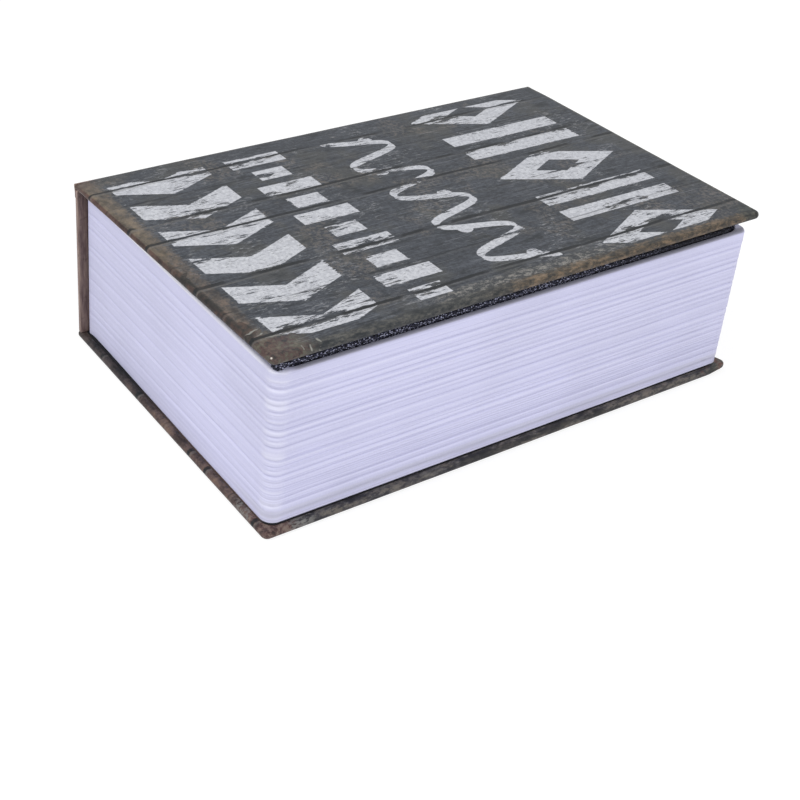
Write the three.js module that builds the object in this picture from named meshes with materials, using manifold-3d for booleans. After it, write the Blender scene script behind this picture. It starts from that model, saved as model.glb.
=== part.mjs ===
// Book diversion safe: a key-locked steel box inside a hardback book case, with a ribbed shell for its pages.
// Units are millimetres. +X runs from the spine to the fore-edge, +Y from the tail to the head, +Z up.
// The origin is the middle of the underside of the closed book, which lies on its back cover.

import * as THREE from "three";
import { mergeVertices } from "three/addons/utils/BufferGeometryUtils.js";
import Module from "manifold-3d";

// Book case: greyboards wrapped in one printed sheet
const COVER_LENGTH = 180;
const COVER_WIDTH = 115.5;
const SPINE_HEIGHT = 55.6;
const FRONT_SHORT = 1.6; // the front cover's fore-edge stays this much behind the back cover's
const COVER_LIFT = 3.35; // the closed front cover stands this much higher at its fore-edge
const GREYBOARD = 1.6;
const SPINE_CARD = 1.2;
const PAPER = 0.3;
const GLUE = 0.1;
const TURN_IN = 15;
const CASE_EDGE_ROUND = 0.7;
const CASE_SPINE_CORNER = 0.8;
const CASE_FORE_CORNER = 2;
const SPINE_INSET = 0.5; // the boards stand proud of the spine by this much
const JOINT_GAP = 0.3;
const LINER = 0.3;
const LINER_SHOWS = 0.5; // the liner's edge shows along the pages' foot at the fore-edge
const LINER_SHOWS_ENDS = 0.3; // and at the tail and the head

// Page shell: a moulded frame whose sides imitate cut pages
const SQUARE_TAIL = 2.3;
const SQUARE_HEAD = 2.3;
const SQUARE_FORE = 2.75;
const PAGE_WALL = 2;
const PAGE_UNDER_COVER = 0.6;
const PAGE_FORE_CORNER = 4;
const RIM_CORNER = 5; // inside the rim, where the lid's corner turns
const PAGE_SPINE_CORNER = 1.5;
const PAGE_RIM_ROUND = 1;
const RIB_PITCH = 2.1;
const RIB_DEPTH = 0.45;
const LEDGE = 1.5;
const SHELL_PLAY = 0.4;

// Front lining: a thin pad in black grained cover cloth, with a flap of the cloth at its tail corner
const LINING = 1.8;
const LINING_FROM_TAIL = 4.8;
const LINING_FROM_HEAD = 12.7;
const LINING_FROM_SPINE = 5.6;
const LINING_FROM_FORE = 0.9;
const LINING_EDGE_ROUND = 0.5;
const FLAP_LENGTH = 3.2; // beyond the pad's tail end
const FLAP_LAP = 0.8; // along the pad
const FLAP_THICK = 0.9;
const FLAP_DROP = 0.4; // below the pad
const FLAP_ROUND = 0.3;

// Steel box: tray, lid and rolled hinge
const SHEET = 1;
const LID_RECESS = 6.1;
const LID_PLAY = 0.8;
const LID_EDGE_ROUND = 0.6;
const SKIRT = 6;
const SKIRT_PLAY = 0.4;
const LID_REST = 0.3;
const PIN_RADIUS = 1.1;
const PIN_PLAY = 0.15;
const PIN_FROM_RIM = 3.7;
const KNUCKLES = 5; // odd ones belong to the tray, even ones to the lid
const KNUCKLE_GAP = 0.3;
const ROLL_GAP = 0.4;
const ROLL_LAP = 8; // degrees by which each roll runs into its sheet
const TRAY_ROLL_END = 265; // degrees, measured as the lap is
const LID_ROLL_END = 350;

// Lanced tongue in the lid, for a fingernail
const TONGUE_WIDTH = 6.5;
const TONGUE_LENGTH = 15.5;
const TONGUE_RISE = 1.2;
const TONGUE_FROM_LOCK = 35;
const SLIT = 0.6;

// Cam lock
const LOCK_FROM_EDGE = 21;
const BEZEL_RADIUS = 11;
const BEZEL_FACE = 8.5;
const BEZEL_HEIGHT = 3.6;
const BEZEL_RIM = 0.6;
const BEZEL_GROOVE = 7.4;
const BEZEL_GROOVE_DEPTH = 0.35;
const BARREL_RADIUS = 8;
const BARREL_FLAT = 6.9;
const BARREL_LENGTH = 16;
const PLUG_RADIUS = 5.9;
const PLUG_PLAY = 0.2;
const PLUG_SINK = 0.2;
const PLUG_TAIL = 6;
const KEYWAY_LENGTH = 8.4;
const KEYWAY_WIDTH = 2.5;
const KEYWAY_DEPTH = 12;
const HOLE_PLAY = 0.15;
const WASHER = 0.8;
const WASHER_RADIUS = 10.6;
const WASHER_TEETH = 12;
const NUT_ACROSS = 20;
const NUT_HEIGHT = 4;
const CAM = 1.8;
const CAM_WIDTH = 12;
const CAM_REACH = 16;
const CAM_SCREW_RADIUS = 1.4;
const CAM_SCREW_HEAD = 4;
const CAM_SCREW_HEIGHT = 1.8;

// Keeper that the cam turns under
const KEEPER = 1.2;
const KEEPER_WIDTH = 26;
const KEEPER_DEPTH = 8.5;
const KEEPER_HEIGHT = 9;
const KEEPER_PLAY = 0.7;

// Tray rivets
const RIVET_RADIUS = 1.6;
const RIVET_HEAD = 3.2;
const RIVET_DOME = 1.2;
const RIVET_PLAY = 0.2;
const RIVET_FROM_SIDE = 26;
const RIVET_FROM_END = 14;

// Keys on their split ring
const BOW_WIDTH = 23;
const BOW_LENGTH = 25;
const BOW_THICK = 4.5;
const BOW_SLOT = 4.5;
const BOW_SLOT_SPAN = 15;
const BOW_SLOT_FROM_END = 5.6;
const BOW_SLOT_BOW = 40; // radius of the slot's curve
const BOW_SOCKET = 7;
const BOW_RECESS = 0.4;
const BLADE_LENGTH = 29;
const BLADE_WIDTH = 8.4;
const BLADE_THICK = 2.1;
const BLADE_GROOVE = 0.5;
const BLADE_PLAY = 0.1;
const KEY_CUTS = [1.4, 0.7, 1.9, 1.1, 1.6]; // depths of the notches, from the bow to the tip
const RING_RADIUS = 11.8;
const RING_WIRE = 0.65;
const RING_PITCH = 1.75;
const RING_TURNS = 2;
const RING_SECTION = 5; // half the number of sides round the wire
const RING_LEAN = THREE.MathUtils.degToRad(36);
const KEYS_FROM_HINGE = 16;
const LIE_GAP = 0.3;

// Places worked out from the sizes above
const caseThick = GREYBOARD + 2 * (PAPER + GLUE);
const spineThick = SPINE_CARD + 2 * (PAPER + GLUE);
const halfLength = COVER_LENGTH / 2;
const halfWidth = COVER_WIDTH / 2;
const spineFace = -halfWidth + SPINE_INSET;
const frontWidth = COVER_WIDTH - FRONT_SHORT;
const liftAngle = Math.asin(COVER_LIFT / frontWidth);
const coverHingeZ = SPINE_HEIGHT - caseThick * Math.cos(liftAngle);
const floorZ = caseThick + LINER;

const page = {
  x0: spineFace + spineThick + GLUE,
  x1: halfWidth - SQUARE_FORE,
  y0: -halfLength + SQUARE_TAIL,
  y1: halfLength - SQUARE_HEAD,
  z0: floorZ,
  z1: coverHingeZ - PAGE_UNDER_COVER,
};
const rim = grown(page, -PAGE_WALL);
const lidTop = page.z1 - LID_RECESS;
const lidUnder = lidTop - SHEET;
const knuckleBore = PIN_RADIUS + PIN_PLAY;
const knuckle = knuckleBore + SHEET;
const pinX = rim.x0 + PIN_FROM_RIM;
const pinZ = lidTop - knuckle;
const lidPlan = {
  x0: pinX,
  x1: rim.x1 - LID_PLAY,
  y0: rim.y0 + LID_PLAY,
  y1: rim.y1 - LID_PLAY,
};
const lidCorner = RIM_CORNER - LID_PLAY;
const trayCorner = lidCorner - SHEET - SKIRT_PLAY;
const tray = {
  x0: pinX + knuckleBore,
  x1: lidPlan.x1 - SHEET - SKIRT_PLAY,
  y0: lidPlan.y0 + SHEET + SKIRT_PLAY,
  y1: lidPlan.y1 - SHEET - SKIRT_PLAY,
  z0: floorZ,
  z1: lidUnder - LID_REST,
};
const trayFloor = tray.z0 + SHEET;
const middleY = (lidPlan.y0 + lidPlan.y1) / 2;
const lockX = lidPlan.x1 - LOCK_FROM_EDGE;
const plugBore = PLUG_RADIUS + PLUG_PLAY;
const camTop = -BARREL_LENGTH - PLUG_PLAY;
const knuckleSpan = (tray.y1 - tray.y0) / KNUCKLES;

const wasm = await Module();
wasm.setup();

// Looks of the real materials
const LOOKS = {
  greyboard: { color: 0x9a8f80, roughness: 0.95, metalness: 0 },
  printedPaper: { color: 0x4e5052, roughness: 0.55, metalness: 0 },
  spinePaper: { color: 0x5c4a44, roughness: 0.55, metalness: 0 },
  blackPaper: { color: 0x1b1b1f, roughness: 0.8, metalness: 0 },
  blackCloth: { color: 0x14141c, roughness: 0.5, metalness: 0 },
  pagePlastic: { color: 0xd0d0e8, roughness: 0.6, metalness: 0 },
  paintedSteel: { color: 0x4a5564, roughness: 0.45, metalness: 0.4 },
  zincSteel: { color: 0xa8abac, roughness: 0.4, metalness: 1 },
  chrome: { color: 0xd8dade, roughness: 0.12, metalness: 1 },
  blackPlastic: { color: 0x15151a, roughness: 0.45, metalness: 0 },
  keyNickel: { color: 0x6e675a, roughness: 0.35, metalness: 1 },
};

// Small tools
function grown(rect, by) {
  return { x0: rect.x0 - by, x1: rect.x1 + by, y0: rect.y0 - by, y1: rect.y1 + by };
}

function solidOf(geometry) {
  const bare = geometry.index ? geometry.toNonIndexed() : geometry.clone();
  bare.deleteAttribute("normal");
  bare.deleteAttribute("uv");
  const merged = mergeVertices(bare, 1e-4);
  const triVerts = new Uint32Array(merged.index.array);
  const vertProperties = merged.attributes.position.array;
  const made = new wasm.Manifold(new wasm.Mesh({ numProp: 3, vertProperties, triVerts }));
  if (made.volume() > 0) return made;
  for (let i = 0; i < triVerts.length; i += 3) {
    [triVerts[i + 1], triVerts[i + 2]] = [triVerts[i + 2], triVerts[i + 1]];
  }
  return new wasm.Manifold(new wasm.Mesh({ numProp: 3, vertProperties, triVerts }));
}

function geometryOf(solid) {
  const mesh = solid.getMesh();
  const position = new Float32Array(mesh.numVert * 3);
  for (let i = 0; i < mesh.numVert; i += 1) {
    position.set(mesh.vertProperties.subarray(i * mesh.numProp, i * mesh.numProp + 3), i * 3);
  }
  const geometry = new THREE.BufferGeometry();
  geometry.setAttribute("position", new THREE.BufferAttribute(position, 3));
  geometry.setIndex(new THREE.BufferAttribute(new Uint32Array(mesh.triVerts), 1));
  const flat = geometry.toNonIndexed();
  flat.computeVertexNormals();
  return flat;
}

function piece(name, solid, look, parent) {
  const mesh = new THREE.Mesh(geometryOf(solid), new THREE.MeshStandardMaterial(LOOKS[look]));
  mesh.name = name;
  parent.add(mesh);
  return mesh;
}

function box(x0, x1, y0, y1, z0, z1) {
  const geometry = new THREE.BoxGeometry(x1 - x0, y1 - y0, z1 - z0);
  geometry.translate((x0 + x1) / 2, (y0 + y1) / 2, (z0 + z1) / 2);
  return solidOf(geometry);
}

function cylinder(x, y, z0, z1, radius, sides = 24) {
  const geometry = new THREE.CylinderGeometry(radius, radius, z1 - z0, sides);
  geometry.rotateX(Math.PI / 2);
  geometry.translate(x, y, (z0 + z1) / 2);
  return solidOf(geometry);
}

// A rounded rectangle whose corners go: spine/tail, fore/tail, fore/head, spine/head
function roundedRect(rect, radii) {
  const [a, b, c, d] = Array.isArray(radii) ? radii : [radii, radii, radii, radii];
  const quarter = Math.PI / 2;
  const shape = new THREE.Shape();
  shape.moveTo(rect.x0 + a, rect.y0);
  shape.absarc(rect.x1 - b, rect.y0 + b, b, -quarter, 0);
  shape.absarc(rect.x1 - c, rect.y1 - c, c, 0, quarter);
  shape.absarc(rect.x0 + d, rect.y1 - d, d, quarter, 2 * quarter);
  shape.absarc(rect.x0 + a, rect.y0 + a, a, 2 * quarter, 3 * quarter);
  shape.closePath();
  return shape;
}

function prism(shape, z0, z1, curveSegments = 6) {
  const geometry = new THREE.ExtrudeGeometry(shape, { depth: z1 - z0, bevelEnabled: false, curveSegments });
  geometry.translate(0, 0, z0);
  return solidOf(geometry);
}

// A slab with rounded plan corners and rounded edges all round
function softSlab(rect, z0, z1, corners, edge, steps = 2) {
  const inner = grown(rect, -edge);
  const radii = [corners, corners, corners, corners].map((given, i) => Math.max((given[i] ?? given) - edge, 0.1));
  const geometry = new THREE.ExtrudeGeometry(roundedRect(inner, radii), {
    depth: z1 - z0 - 2 * edge,
    bevelThickness: edge,
    bevelSize: edge,
    bevelSegments: steps,
    curveSegments: 2 * steps,
  });
  geometry.translate(0, 0, z0 + edge);
  return solidOf(geometry);
}

// A profile drawn in X and Z, extruded from y0 to y1
function alongY(shape, y0, y1, curveSegments = 8) {
  const geometry = new THREE.ExtrudeGeometry(shape, { depth: y1 - y0, bevelEnabled: false, curveSegments });
  geometry.rotateX(Math.PI / 2);
  geometry.translate(0, y1, 0);
  return solidOf(geometry);
}

// A profile of radius and height, turned about the Z axis
function turned(profile, sides = 36) {
  const points = profile.map(([radius, height]) => new THREE.Vector2(radius, height));
  const geometry = new THREE.LatheGeometry(points, sides);
  geometry.rotateX(Math.PI / 2);
  return solidOf(geometry);
}

// One board of the book case with its printed sheet, face up, its underside at z = 0
function caseLeaf(rect, board, corners) {
  const thick = board + 2 * (PAPER + GLUE);
  const cavity = grown(rect, -PAPER);
  const core = grown(rect, -PAPER - GLUE);
  const window = grown(rect, -Math.min(TURN_IN, (rect.x1 - rect.x0) / 4));
  const hollow = box(cavity.x0, cavity.x1, cavity.y0, cavity.y1, PAPER, thick - PAPER);
  const opening = box(window.x0, window.x1, window.y0, window.y1, -1, thick / 2);
  const outside = softSlab(rect, 0, thick, corners, CASE_EDGE_ROUND);
  const edge = Math.min(CASE_EDGE_ROUND, board / 3);
  return {
    paper: outside.subtract(hollow).subtract(opening),
    board: softSlab(core, PAPER + GLUE, thick - PAPER - GLUE, corners, edge, 1),
  };
}

const coverCorners = [CASE_SPINE_CORNER, CASE_FORE_CORNER, CASE_FORE_CORNER, CASE_SPINE_CORNER];

function rivetPlaces() {
  const xs = [tray.x0 + SHEET + RIVET_FROM_SIDE, tray.x1 - SHEET - RIVET_FROM_SIDE];
  const ys = [tray.y0 + SHEET + RIVET_FROM_END, tray.y1 - SHEET - RIVET_FROM_END];
  return xs.flatMap((x) => ys.map((y) => [x, y]));
}

function withRivetHoles(solid) {
  let cut = solid;
  for (const [x, y] of rivetPlaces()) {
    cut = cut.subtract(cylinder(x, y, -caseThick, trayFloor + 1, RIVET_RADIUS + RIVET_PLAY, 14));
  }
  return cut;
}

// Back cover and spine: they carry everything and stay still
function addBackCover(parent) {
  const rect = { x0: -halfWidth, x1: halfWidth, y0: -halfLength, y1: halfLength };
  const leaf = caseLeaf(rect, GREYBOARD, coverCorners);
  const faceDown = (solid) => solid.rotate([180, 0, 0]).translate([0, 0, caseThick]);
  piece("back_board", withRivetHoles(faceDown(leaf.board)), "greyboard", parent);
  piece("back_wrap", faceDown(leaf.paper), "printedPaper", parent);

  const linerRect = { ...grown(page, LINER_SHOWS_ENDS), x0: page.x0, x1: page.x1 + LINER_SHOWS };
  const radii = [0.5, PAGE_FORE_CORNER, PAGE_FORE_CORNER, 0.5];
  const liner = prism(roundedRect(linerRect, radii), caseThick, floorZ);
  piece("back_liner", withRivetHoles(liner), "blackPaper", parent);
}

function addSpine(parent) {
  const low = caseThick + JOINT_GAP;
  const high = coverHingeZ - JOINT_GAP;
  const half = (high - low) / 2;
  const rect = { x0: -half, x1: half, y0: -halfLength, y1: halfLength };
  const leaf = caseLeaf(rect, SPINE_CARD, CASE_SPINE_CORNER);
  const upright = (solid) => solid.rotate([0, -90, 0]).translate([spineFace + spineThick, 0, (low + high) / 2]);
  piece("spine_board", upright(leaf.board), "greyboard", parent);
  piece("spine_wrap", upright(leaf.paper), "spinePaper", parent);
}

// Front cover, lining pad and the flap at the pad's tail corner, turned about the joint in the spine's top edge
function addFrontCover(parent) {
  const group = new THREE.Group();
  group.position.set(-halfWidth, 0, coverHingeZ);
  group.rotation.y = -liftAngle;
  parent.add(group);

  const rect = { x0: 0, x1: frontWidth, y0: -halfLength, y1: halfLength };
  const leaf = caseLeaf(rect, GREYBOARD, coverCorners);
  piece("front_board", leaf.board, "greyboard", group);
  piece("front_wrap", leaf.paper, "printedPaper", group);

  const pad = {
    x0: LINING_FROM_SPINE,
    x1: frontWidth - LINING_FROM_FORE,
    y0: -halfLength + LINING_FROM_TAIL,
    y1: halfLength - LINING_FROM_HEAD,
  };
  const flat = softSlab(pad, -GLUE - LINING, -GLUE, CASE_SPINE_CORNER, LINING_EDGE_ROUND);
  const flapRect = { x0: pad.x1 - FLAP_THICK, x1: pad.x1, y0: pad.y0 - FLAP_LENGTH, y1: pad.y0 + FLAP_LAP };
  const flap = softSlab(flapRect, -GLUE - LINING - FLAP_DROP, -GLUE, FLAP_ROUND, FLAP_ROUND, 1);
  piece("front_lining", flat.add(flap), "blackCloth", group);
}

// Page shell: its outside is a stack of ribs of uneven thickness, like gathered sheets
function pageOutline(inset) {
  const corners = [
    [page.x1 - PAGE_FORE_CORNER, page.y0 + PAGE_FORE_CORNER, PAGE_FORE_CORNER, -90, 6],
    [page.x1 - PAGE_FORE_CORNER, page.y1 - PAGE_FORE_CORNER, PAGE_FORE_CORNER, 0, 6],
    [page.x0 + PAGE_SPINE_CORNER, page.y1 - PAGE_SPINE_CORNER, PAGE_SPINE_CORNER, 90, 2],
    [page.x0 + PAGE_SPINE_CORNER, page.y0 + PAGE_SPINE_CORNER, PAGE_SPINE_CORNER, 180, 2],
  ];
  return corners.flatMap(([cx, cy, radius, from, steps]) =>
    Array.from({ length: steps + 1 }, (_, i) => {
      const angle = THREE.MathUtils.degToRad(from + (90 * i) / steps);
      return [cx + (radius - inset) * Math.cos(angle), cy + (radius - inset) * Math.sin(angle)];
    }),
  );
}

function ribHeights() {
  const count = Math.round((page.z1 - page.z0 - 2 * PAGE_RIM_ROUND) / RIB_PITCH);
  const shares = Array.from({ length: count }, (_, i) => 1 + 0.3 * Math.sin(2.4 * i) + 0.15 * Math.sin(5.1 * i));
  const whole = shares.reduce((sum, share) => sum + share, 0);
  const span = page.z1 - page.z0 - 2 * PAGE_RIM_ROUND;
  let z = page.z0 + PAGE_RIM_ROUND;
  return shares.map((share) => {
    const rib = { z, height: (span * share) / whole };
    z += rib.height;
    return rib;
  });
}

function ribbedBlock() {
  const levels = [
    [page.z0, PAGE_RIM_ROUND],
    [page.z0 + PAGE_RIM_ROUND / 3, PAGE_RIM_ROUND / 3],
  ];
  ribHeights().forEach(({ z, height }, i) => {
    const depth = RIB_DEPTH * (0.75 + 0.25 * Math.sin(3.7 * i));
    levels.push([z, depth], [z + 0.3 * height, 0], [z + 0.75 * height, 0.1 * depth]);
  });
  levels.push([page.z1 - PAGE_RIM_ROUND, 0], [page.z1 - PAGE_RIM_ROUND / 3, PAGE_RIM_ROUND / 3]);
  levels.push([page.z1, PAGE_RIM_ROUND]);

  const rings = levels.map(([z, inset]) => pageOutline(inset).map(([x, y]) => [x, y, z]));
  const sides = rings[0].length;
  const middle = [(page.x0 + page.x1) / 2, (page.y0 + page.y1) / 2];
  const points = [...rings.flat(), [...middle, page.z0], [...middle, page.z1]];
  const under = points.length - 2;
  const over = points.length - 1;
  const index = [];
  for (let i = 0; i < sides; i += 1) {
    const next = (i + 1) % sides;
    for (let level = 0; level + 1 < rings.length; level += 1) {
      const a = level * sides + i;
      const b = level * sides + next;
      index.push(a, b, b + sides, a, b + sides, a + sides);
    }
    const top = (rings.length - 1) * sides;
    index.push(under, next, i, over, top + i, top + next);
  }
  const geometry = new THREE.BufferGeometry();
  geometry.setAttribute("position", new THREE.Float32BufferAttribute(points.flat(), 3));
  geometry.setIndex(index);
  return solidOf(geometry);
}

function addPageShell(parent) {
  const ledgeTop = lidUnder - SKIRT - SHELL_PLAY;
  const radii = [0.5, RIM_CORNER, RIM_CORNER, 0.5];
  const throat = grown(tray, SHELL_PLAY);
  const shell = ribbedBlock()
    .subtract(prism(roundedRect(rim, radii), ledgeTop, page.z1 + 1))
    .subtract(prism(roundedRect(throat, trayCorner + SHELL_PLAY), ledgeTop - LEDGE - 1, ledgeTop + 1))
    .subtract(prism(roundedRect(rim, radii), page.z0 - 1, ledgeTop - LEDGE));
  piece("page_shell", shell, "pagePlastic", parent);
}

// Hinge: sheet metal rolled round the pin. The roll starts at one angle and ends short of where it began
function roll(fromDegrees, toDegrees) {
  const from = THREE.MathUtils.degToRad(fromDegrees);
  const to = THREE.MathUtils.degToRad(toDegrees);
  const shape = new THREE.Shape();
  shape.absarc(pinX, pinZ, knuckle, from, to, false);
  shape.absarc(pinX, pinZ, knuckleBore, to, from, true);
  shape.closePath();
  return shape;
}

function knuckleRange(i) {
  const y0 = tray.y0 + i * knuckleSpan;
  return [y0 + KNUCKLE_GAP / 2, y0 + knuckleSpan - KNUCKLE_GAP / 2];
}

function addTray(parent) {
  const inside = grown(tray, -SHEET);
  let solid = prism(roundedRect(tray, trayCorner), tray.z0, tray.z1);
  solid = solid.subtract(prism(roundedRect(inside, trayCorner - SHEET), trayFloor, tray.z1 + 1));
  const strip = tray.x0 + SHEET + 0.01;
  solid = solid.subtract(box(tray.x0 - 1, strip, tray.y0 - 1, tray.y1 + 1, pinZ, tray.z1 + 1));
  for (let i = 0; i < KNUCKLES; i += 1) {
    const [y0, y1] = knuckleRange(i);
    if (i % 2 === 0) {
      solid = solid.add(alongY(roll(-ROLL_LAP, TRAY_ROLL_END), y0, y1));
    } else {
      const notchFoot = pinZ - knuckle - ROLL_GAP;
      solid = solid.subtract(box(tray.x0 - 1, strip, y0 - KNUCKLE_GAP, y1 + KNUCKLE_GAP, notchFoot, tray.z1 + 1));
    }
  }
  piece("tray", withRivetHoles(solid), "paintedSteel", parent);
}

function addHingePin(parent) {
  const geometry = new THREE.CylinderGeometry(PIN_RADIUS, PIN_RADIUS, tray.y1 - tray.y0, 20);
  geometry.translate(pinX, (tray.y0 + tray.y1) / 2, pinZ);
  piece("hinge_pin", solidOf(geometry), "zincSteel", parent);
}

function addRivets(parent) {
  rivetPlaces().forEach(([x, y], i) => {
    const foot = PAPER + GLUE - trayFloor;
    const profile = [
      [0, foot],
      [RIVET_RADIUS, foot],
      [RIVET_RADIUS, 0],
      [RIVET_HEAD, 0],
      [RIVET_HEAD * 0.86, RIVET_DOME * 0.6],
      [RIVET_HEAD * 0.5, RIVET_DOME * 0.93],
      [0, RIVET_DOME],
    ];
    const rivet = piece(`tray_rivet_${i + 1}`, turned(profile, 14), "zincSteel", parent);
    rivet.position.set(x, y, trayFloor);
  });
}

// Keeper: an angle welded inside the tray's fore wall, whose shelf the cam turns under
function addKeeper(parent) {
  const back = tray.x1 - SHEET;
  const shelfUnder = lidTop + camTop + KEEPER_PLAY;
  const half = KEEPER_WIDTH / 2;
  const shape = new THREE.Shape();
  shape.moveTo(back, shelfUnder);
  shape.lineTo(back, shelfUnder + KEEPER_HEIGHT);
  shape.lineTo(back - KEEPER, shelfUnder + KEEPER_HEIGHT);
  shape.lineTo(back - KEEPER, shelfUnder + KEEPER);
  shape.lineTo(back - KEEPER_DEPTH, shelfUnder + KEEPER);
  shape.lineTo(back - KEEPER_DEPTH, shelfUnder);
  shape.closePath();
  piece("lock_keeper", alongY(shape, middleY - half, middleY + half), "zincSteel", parent);
}

// Lid: a pan with skirts on three sides, knuckles on the fourth, a lanced tongue and the lock's hole
function tongueY() {
  return middleY + TONGUE_FROM_LOCK;
}

function tongueStrap() {
  const x0 = lidPlan.x1 - TONGUE_LENGTH;
  const shape = new THREE.Shape();
  shape.moveTo(x0 - SHEET, lidUnder);
  shape.lineTo(x0, lidUnder);
  shape.lineTo(x0 + TONGUE_LENGTH / 3, lidUnder + TONGUE_RISE);
  shape.lineTo(lidPlan.x1 - LID_EDGE_ROUND, lidUnder + TONGUE_RISE);
  shape.absarc(lidPlan.x1 - SHEET / 2, lidUnder + TONGUE_RISE + SHEET / 2, SHEET / 2, -Math.PI / 2, Math.PI / 2);
  shape.lineTo(x0 + TONGUE_LENGTH / 3, lidTop + TONGUE_RISE);
  shape.lineTo(x0, lidTop);
  shape.lineTo(x0 - SHEET, lidTop);
  shape.closePath();
  const half = TONGUE_WIDTH / 2;
  return alongY(shape, tongueY() - half, tongueY() + half, 4);
}

function addLid(parent) {
  const skirtFoot = lidUnder - SKIRT;
  const outside = { ...lidPlan, x0: pinX - 2 * lidCorner };
  let solid = softSlab(outside, skirtFoot - 2, lidTop, lidCorner, LID_EDGE_ROUND);
  const far = COVER_WIDTH;
  solid = solid.subtract(box(-far, far, -far, far, skirtFoot - 3, skirtFoot));
  solid = solid.subtract(box(-far, pinX, -far, far, skirtFoot - 1, lidTop + 1));
  const inside = { ...grown(lidPlan, -SHEET), x0: pinX - 2 * lidCorner };
  solid = solid.subtract(prism(roundedRect(inside, lidCorner - SHEET), skirtFoot - 1, lidUnder));
  solid = solid.subtract(box(pinX - 1, pinX + knuckle + SHEET, -far, far, skirtFoot - 1, lidUnder));
  for (let i = 0; i < KNUCKLES; i += 1) {
    const [y0, y1] = knuckleRange(i);
    if (i % 2 === 1) {
      solid = solid.add(alongY(roll(90 - ROLL_LAP, LID_ROLL_END), y0, y1));
    } else {
      const low = i === 0 ? lidPlan.y0 - 1 : y0 - KNUCKLE_GAP;
      const high = i === KNUCKLES - 1 ? lidPlan.y1 + 1 : y1 + KNUCKLE_GAP;
      solid = solid.subtract(box(pinX - 1, pinX + knuckle + ROLL_GAP, low, high, lidUnder - 1, lidTop + 1));
    }
  }
  const half = TONGUE_WIDTH / 2 + SLIT;
  const pocketX = lidPlan.x1 - TONGUE_LENGTH;
  solid = solid.subtract(box(pocketX, lidPlan.x1 + 1, tongueY() - half, tongueY() + half, skirtFoot - 1, lidTop + 1));
  solid = solid.add(tongueStrap());
  piece("lid", solid.subtract(barrelHole()), "paintedSteel", parent);
}

// Lock parts stand on the lid's top face, in a group at the lock's centre
function withFlats(solid, flat, z0, z1) {
  const far = 2 * BEZEL_RADIUS;
  return solid.subtract(box(flat, far, -far, far, z0, z1)).subtract(box(-far, -flat, -far, far, z0, z1));
}

function barrelHole() {
  const hole = cylinder(0, 0, -2 * SHEET, SHEET, BARREL_RADIUS + HOLE_PLAY, 36);
  return withFlats(hole, BARREL_FLAT + HOLE_PLAY, -3 * SHEET, 2 * SHEET).translate([lockX, middleY, lidTop]);
}

function addLockBody(group) {
  const groove = BEZEL_GROOVE_DEPTH;
  const profile = [
    [plugBore, -BARREL_LENGTH],
    [BARREL_RADIUS, -BARREL_LENGTH],
    [BARREL_RADIUS, 0],
    [BEZEL_RADIUS, 0],
    [BEZEL_RADIUS, BEZEL_RIM],
    [BEZEL_FACE + groove, BEZEL_HEIGHT - groove],
    [BEZEL_FACE, BEZEL_HEIGHT],
    [BEZEL_GROOVE + groove, BEZEL_HEIGHT],
    [BEZEL_GROOVE, BEZEL_HEIGHT - groove],
    [BEZEL_GROOVE - groove, BEZEL_HEIGHT],
    [plugBore, BEZEL_HEIGHT],
    [plugBore, -BARREL_LENGTH],
  ];
  const solid = withFlats(turned(profile, 32), BARREL_FLAT, -BARREL_LENGTH - 1, 0);
  piece("lock_body", solid, "chrome", group);
}

function addWasherAndNut(group) {
  const top = -SHEET;
  const ring = cylinder(0, 0, top - WASHER, top, WASHER_RADIUS - 1, 32);
  let washer = ring;
  for (let i = 0; i < WASHER_TEETH; i += 1) {
    const tooth = box(0, WASHER_RADIUS, -0.7, 0.7, top - WASHER, top);
    washer = washer.add(tooth.rotate([0, 0, (360 * i) / WASHER_TEETH]));
  }
  washer = washer.subtract(cylinder(0, 0, top - WASHER - 1, top + 1, BARREL_RADIUS + HOLE_PLAY, 32));
  piece("lock_washer", washer, "zincSteel", group);

  const nutTop = top - WASHER;
  const across = NUT_ACROSS / 2;
  const hexagon = cylinder(0, 0, nutTop - NUT_HEIGHT, nutTop, across / Math.cos(Math.PI / 6), 6);
  const crown = turned(
    [
      [0, nutTop - NUT_HEIGHT],
      [across, nutTop - NUT_HEIGHT],
      [across * 1.16, nutTop - NUT_HEIGHT * 0.8],
      [across * 1.16, nutTop],
      [0, nutTop],
    ],
    36,
  );
  const bore = cylinder(0, 0, nutTop - NUT_HEIGHT - 1, nutTop + 1, BARREL_RADIUS + HOLE_PLAY, 32);
  piece("lock_nut", hexagon.intersect(crown).subtract(bore), "zincSteel", group);
}

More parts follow.
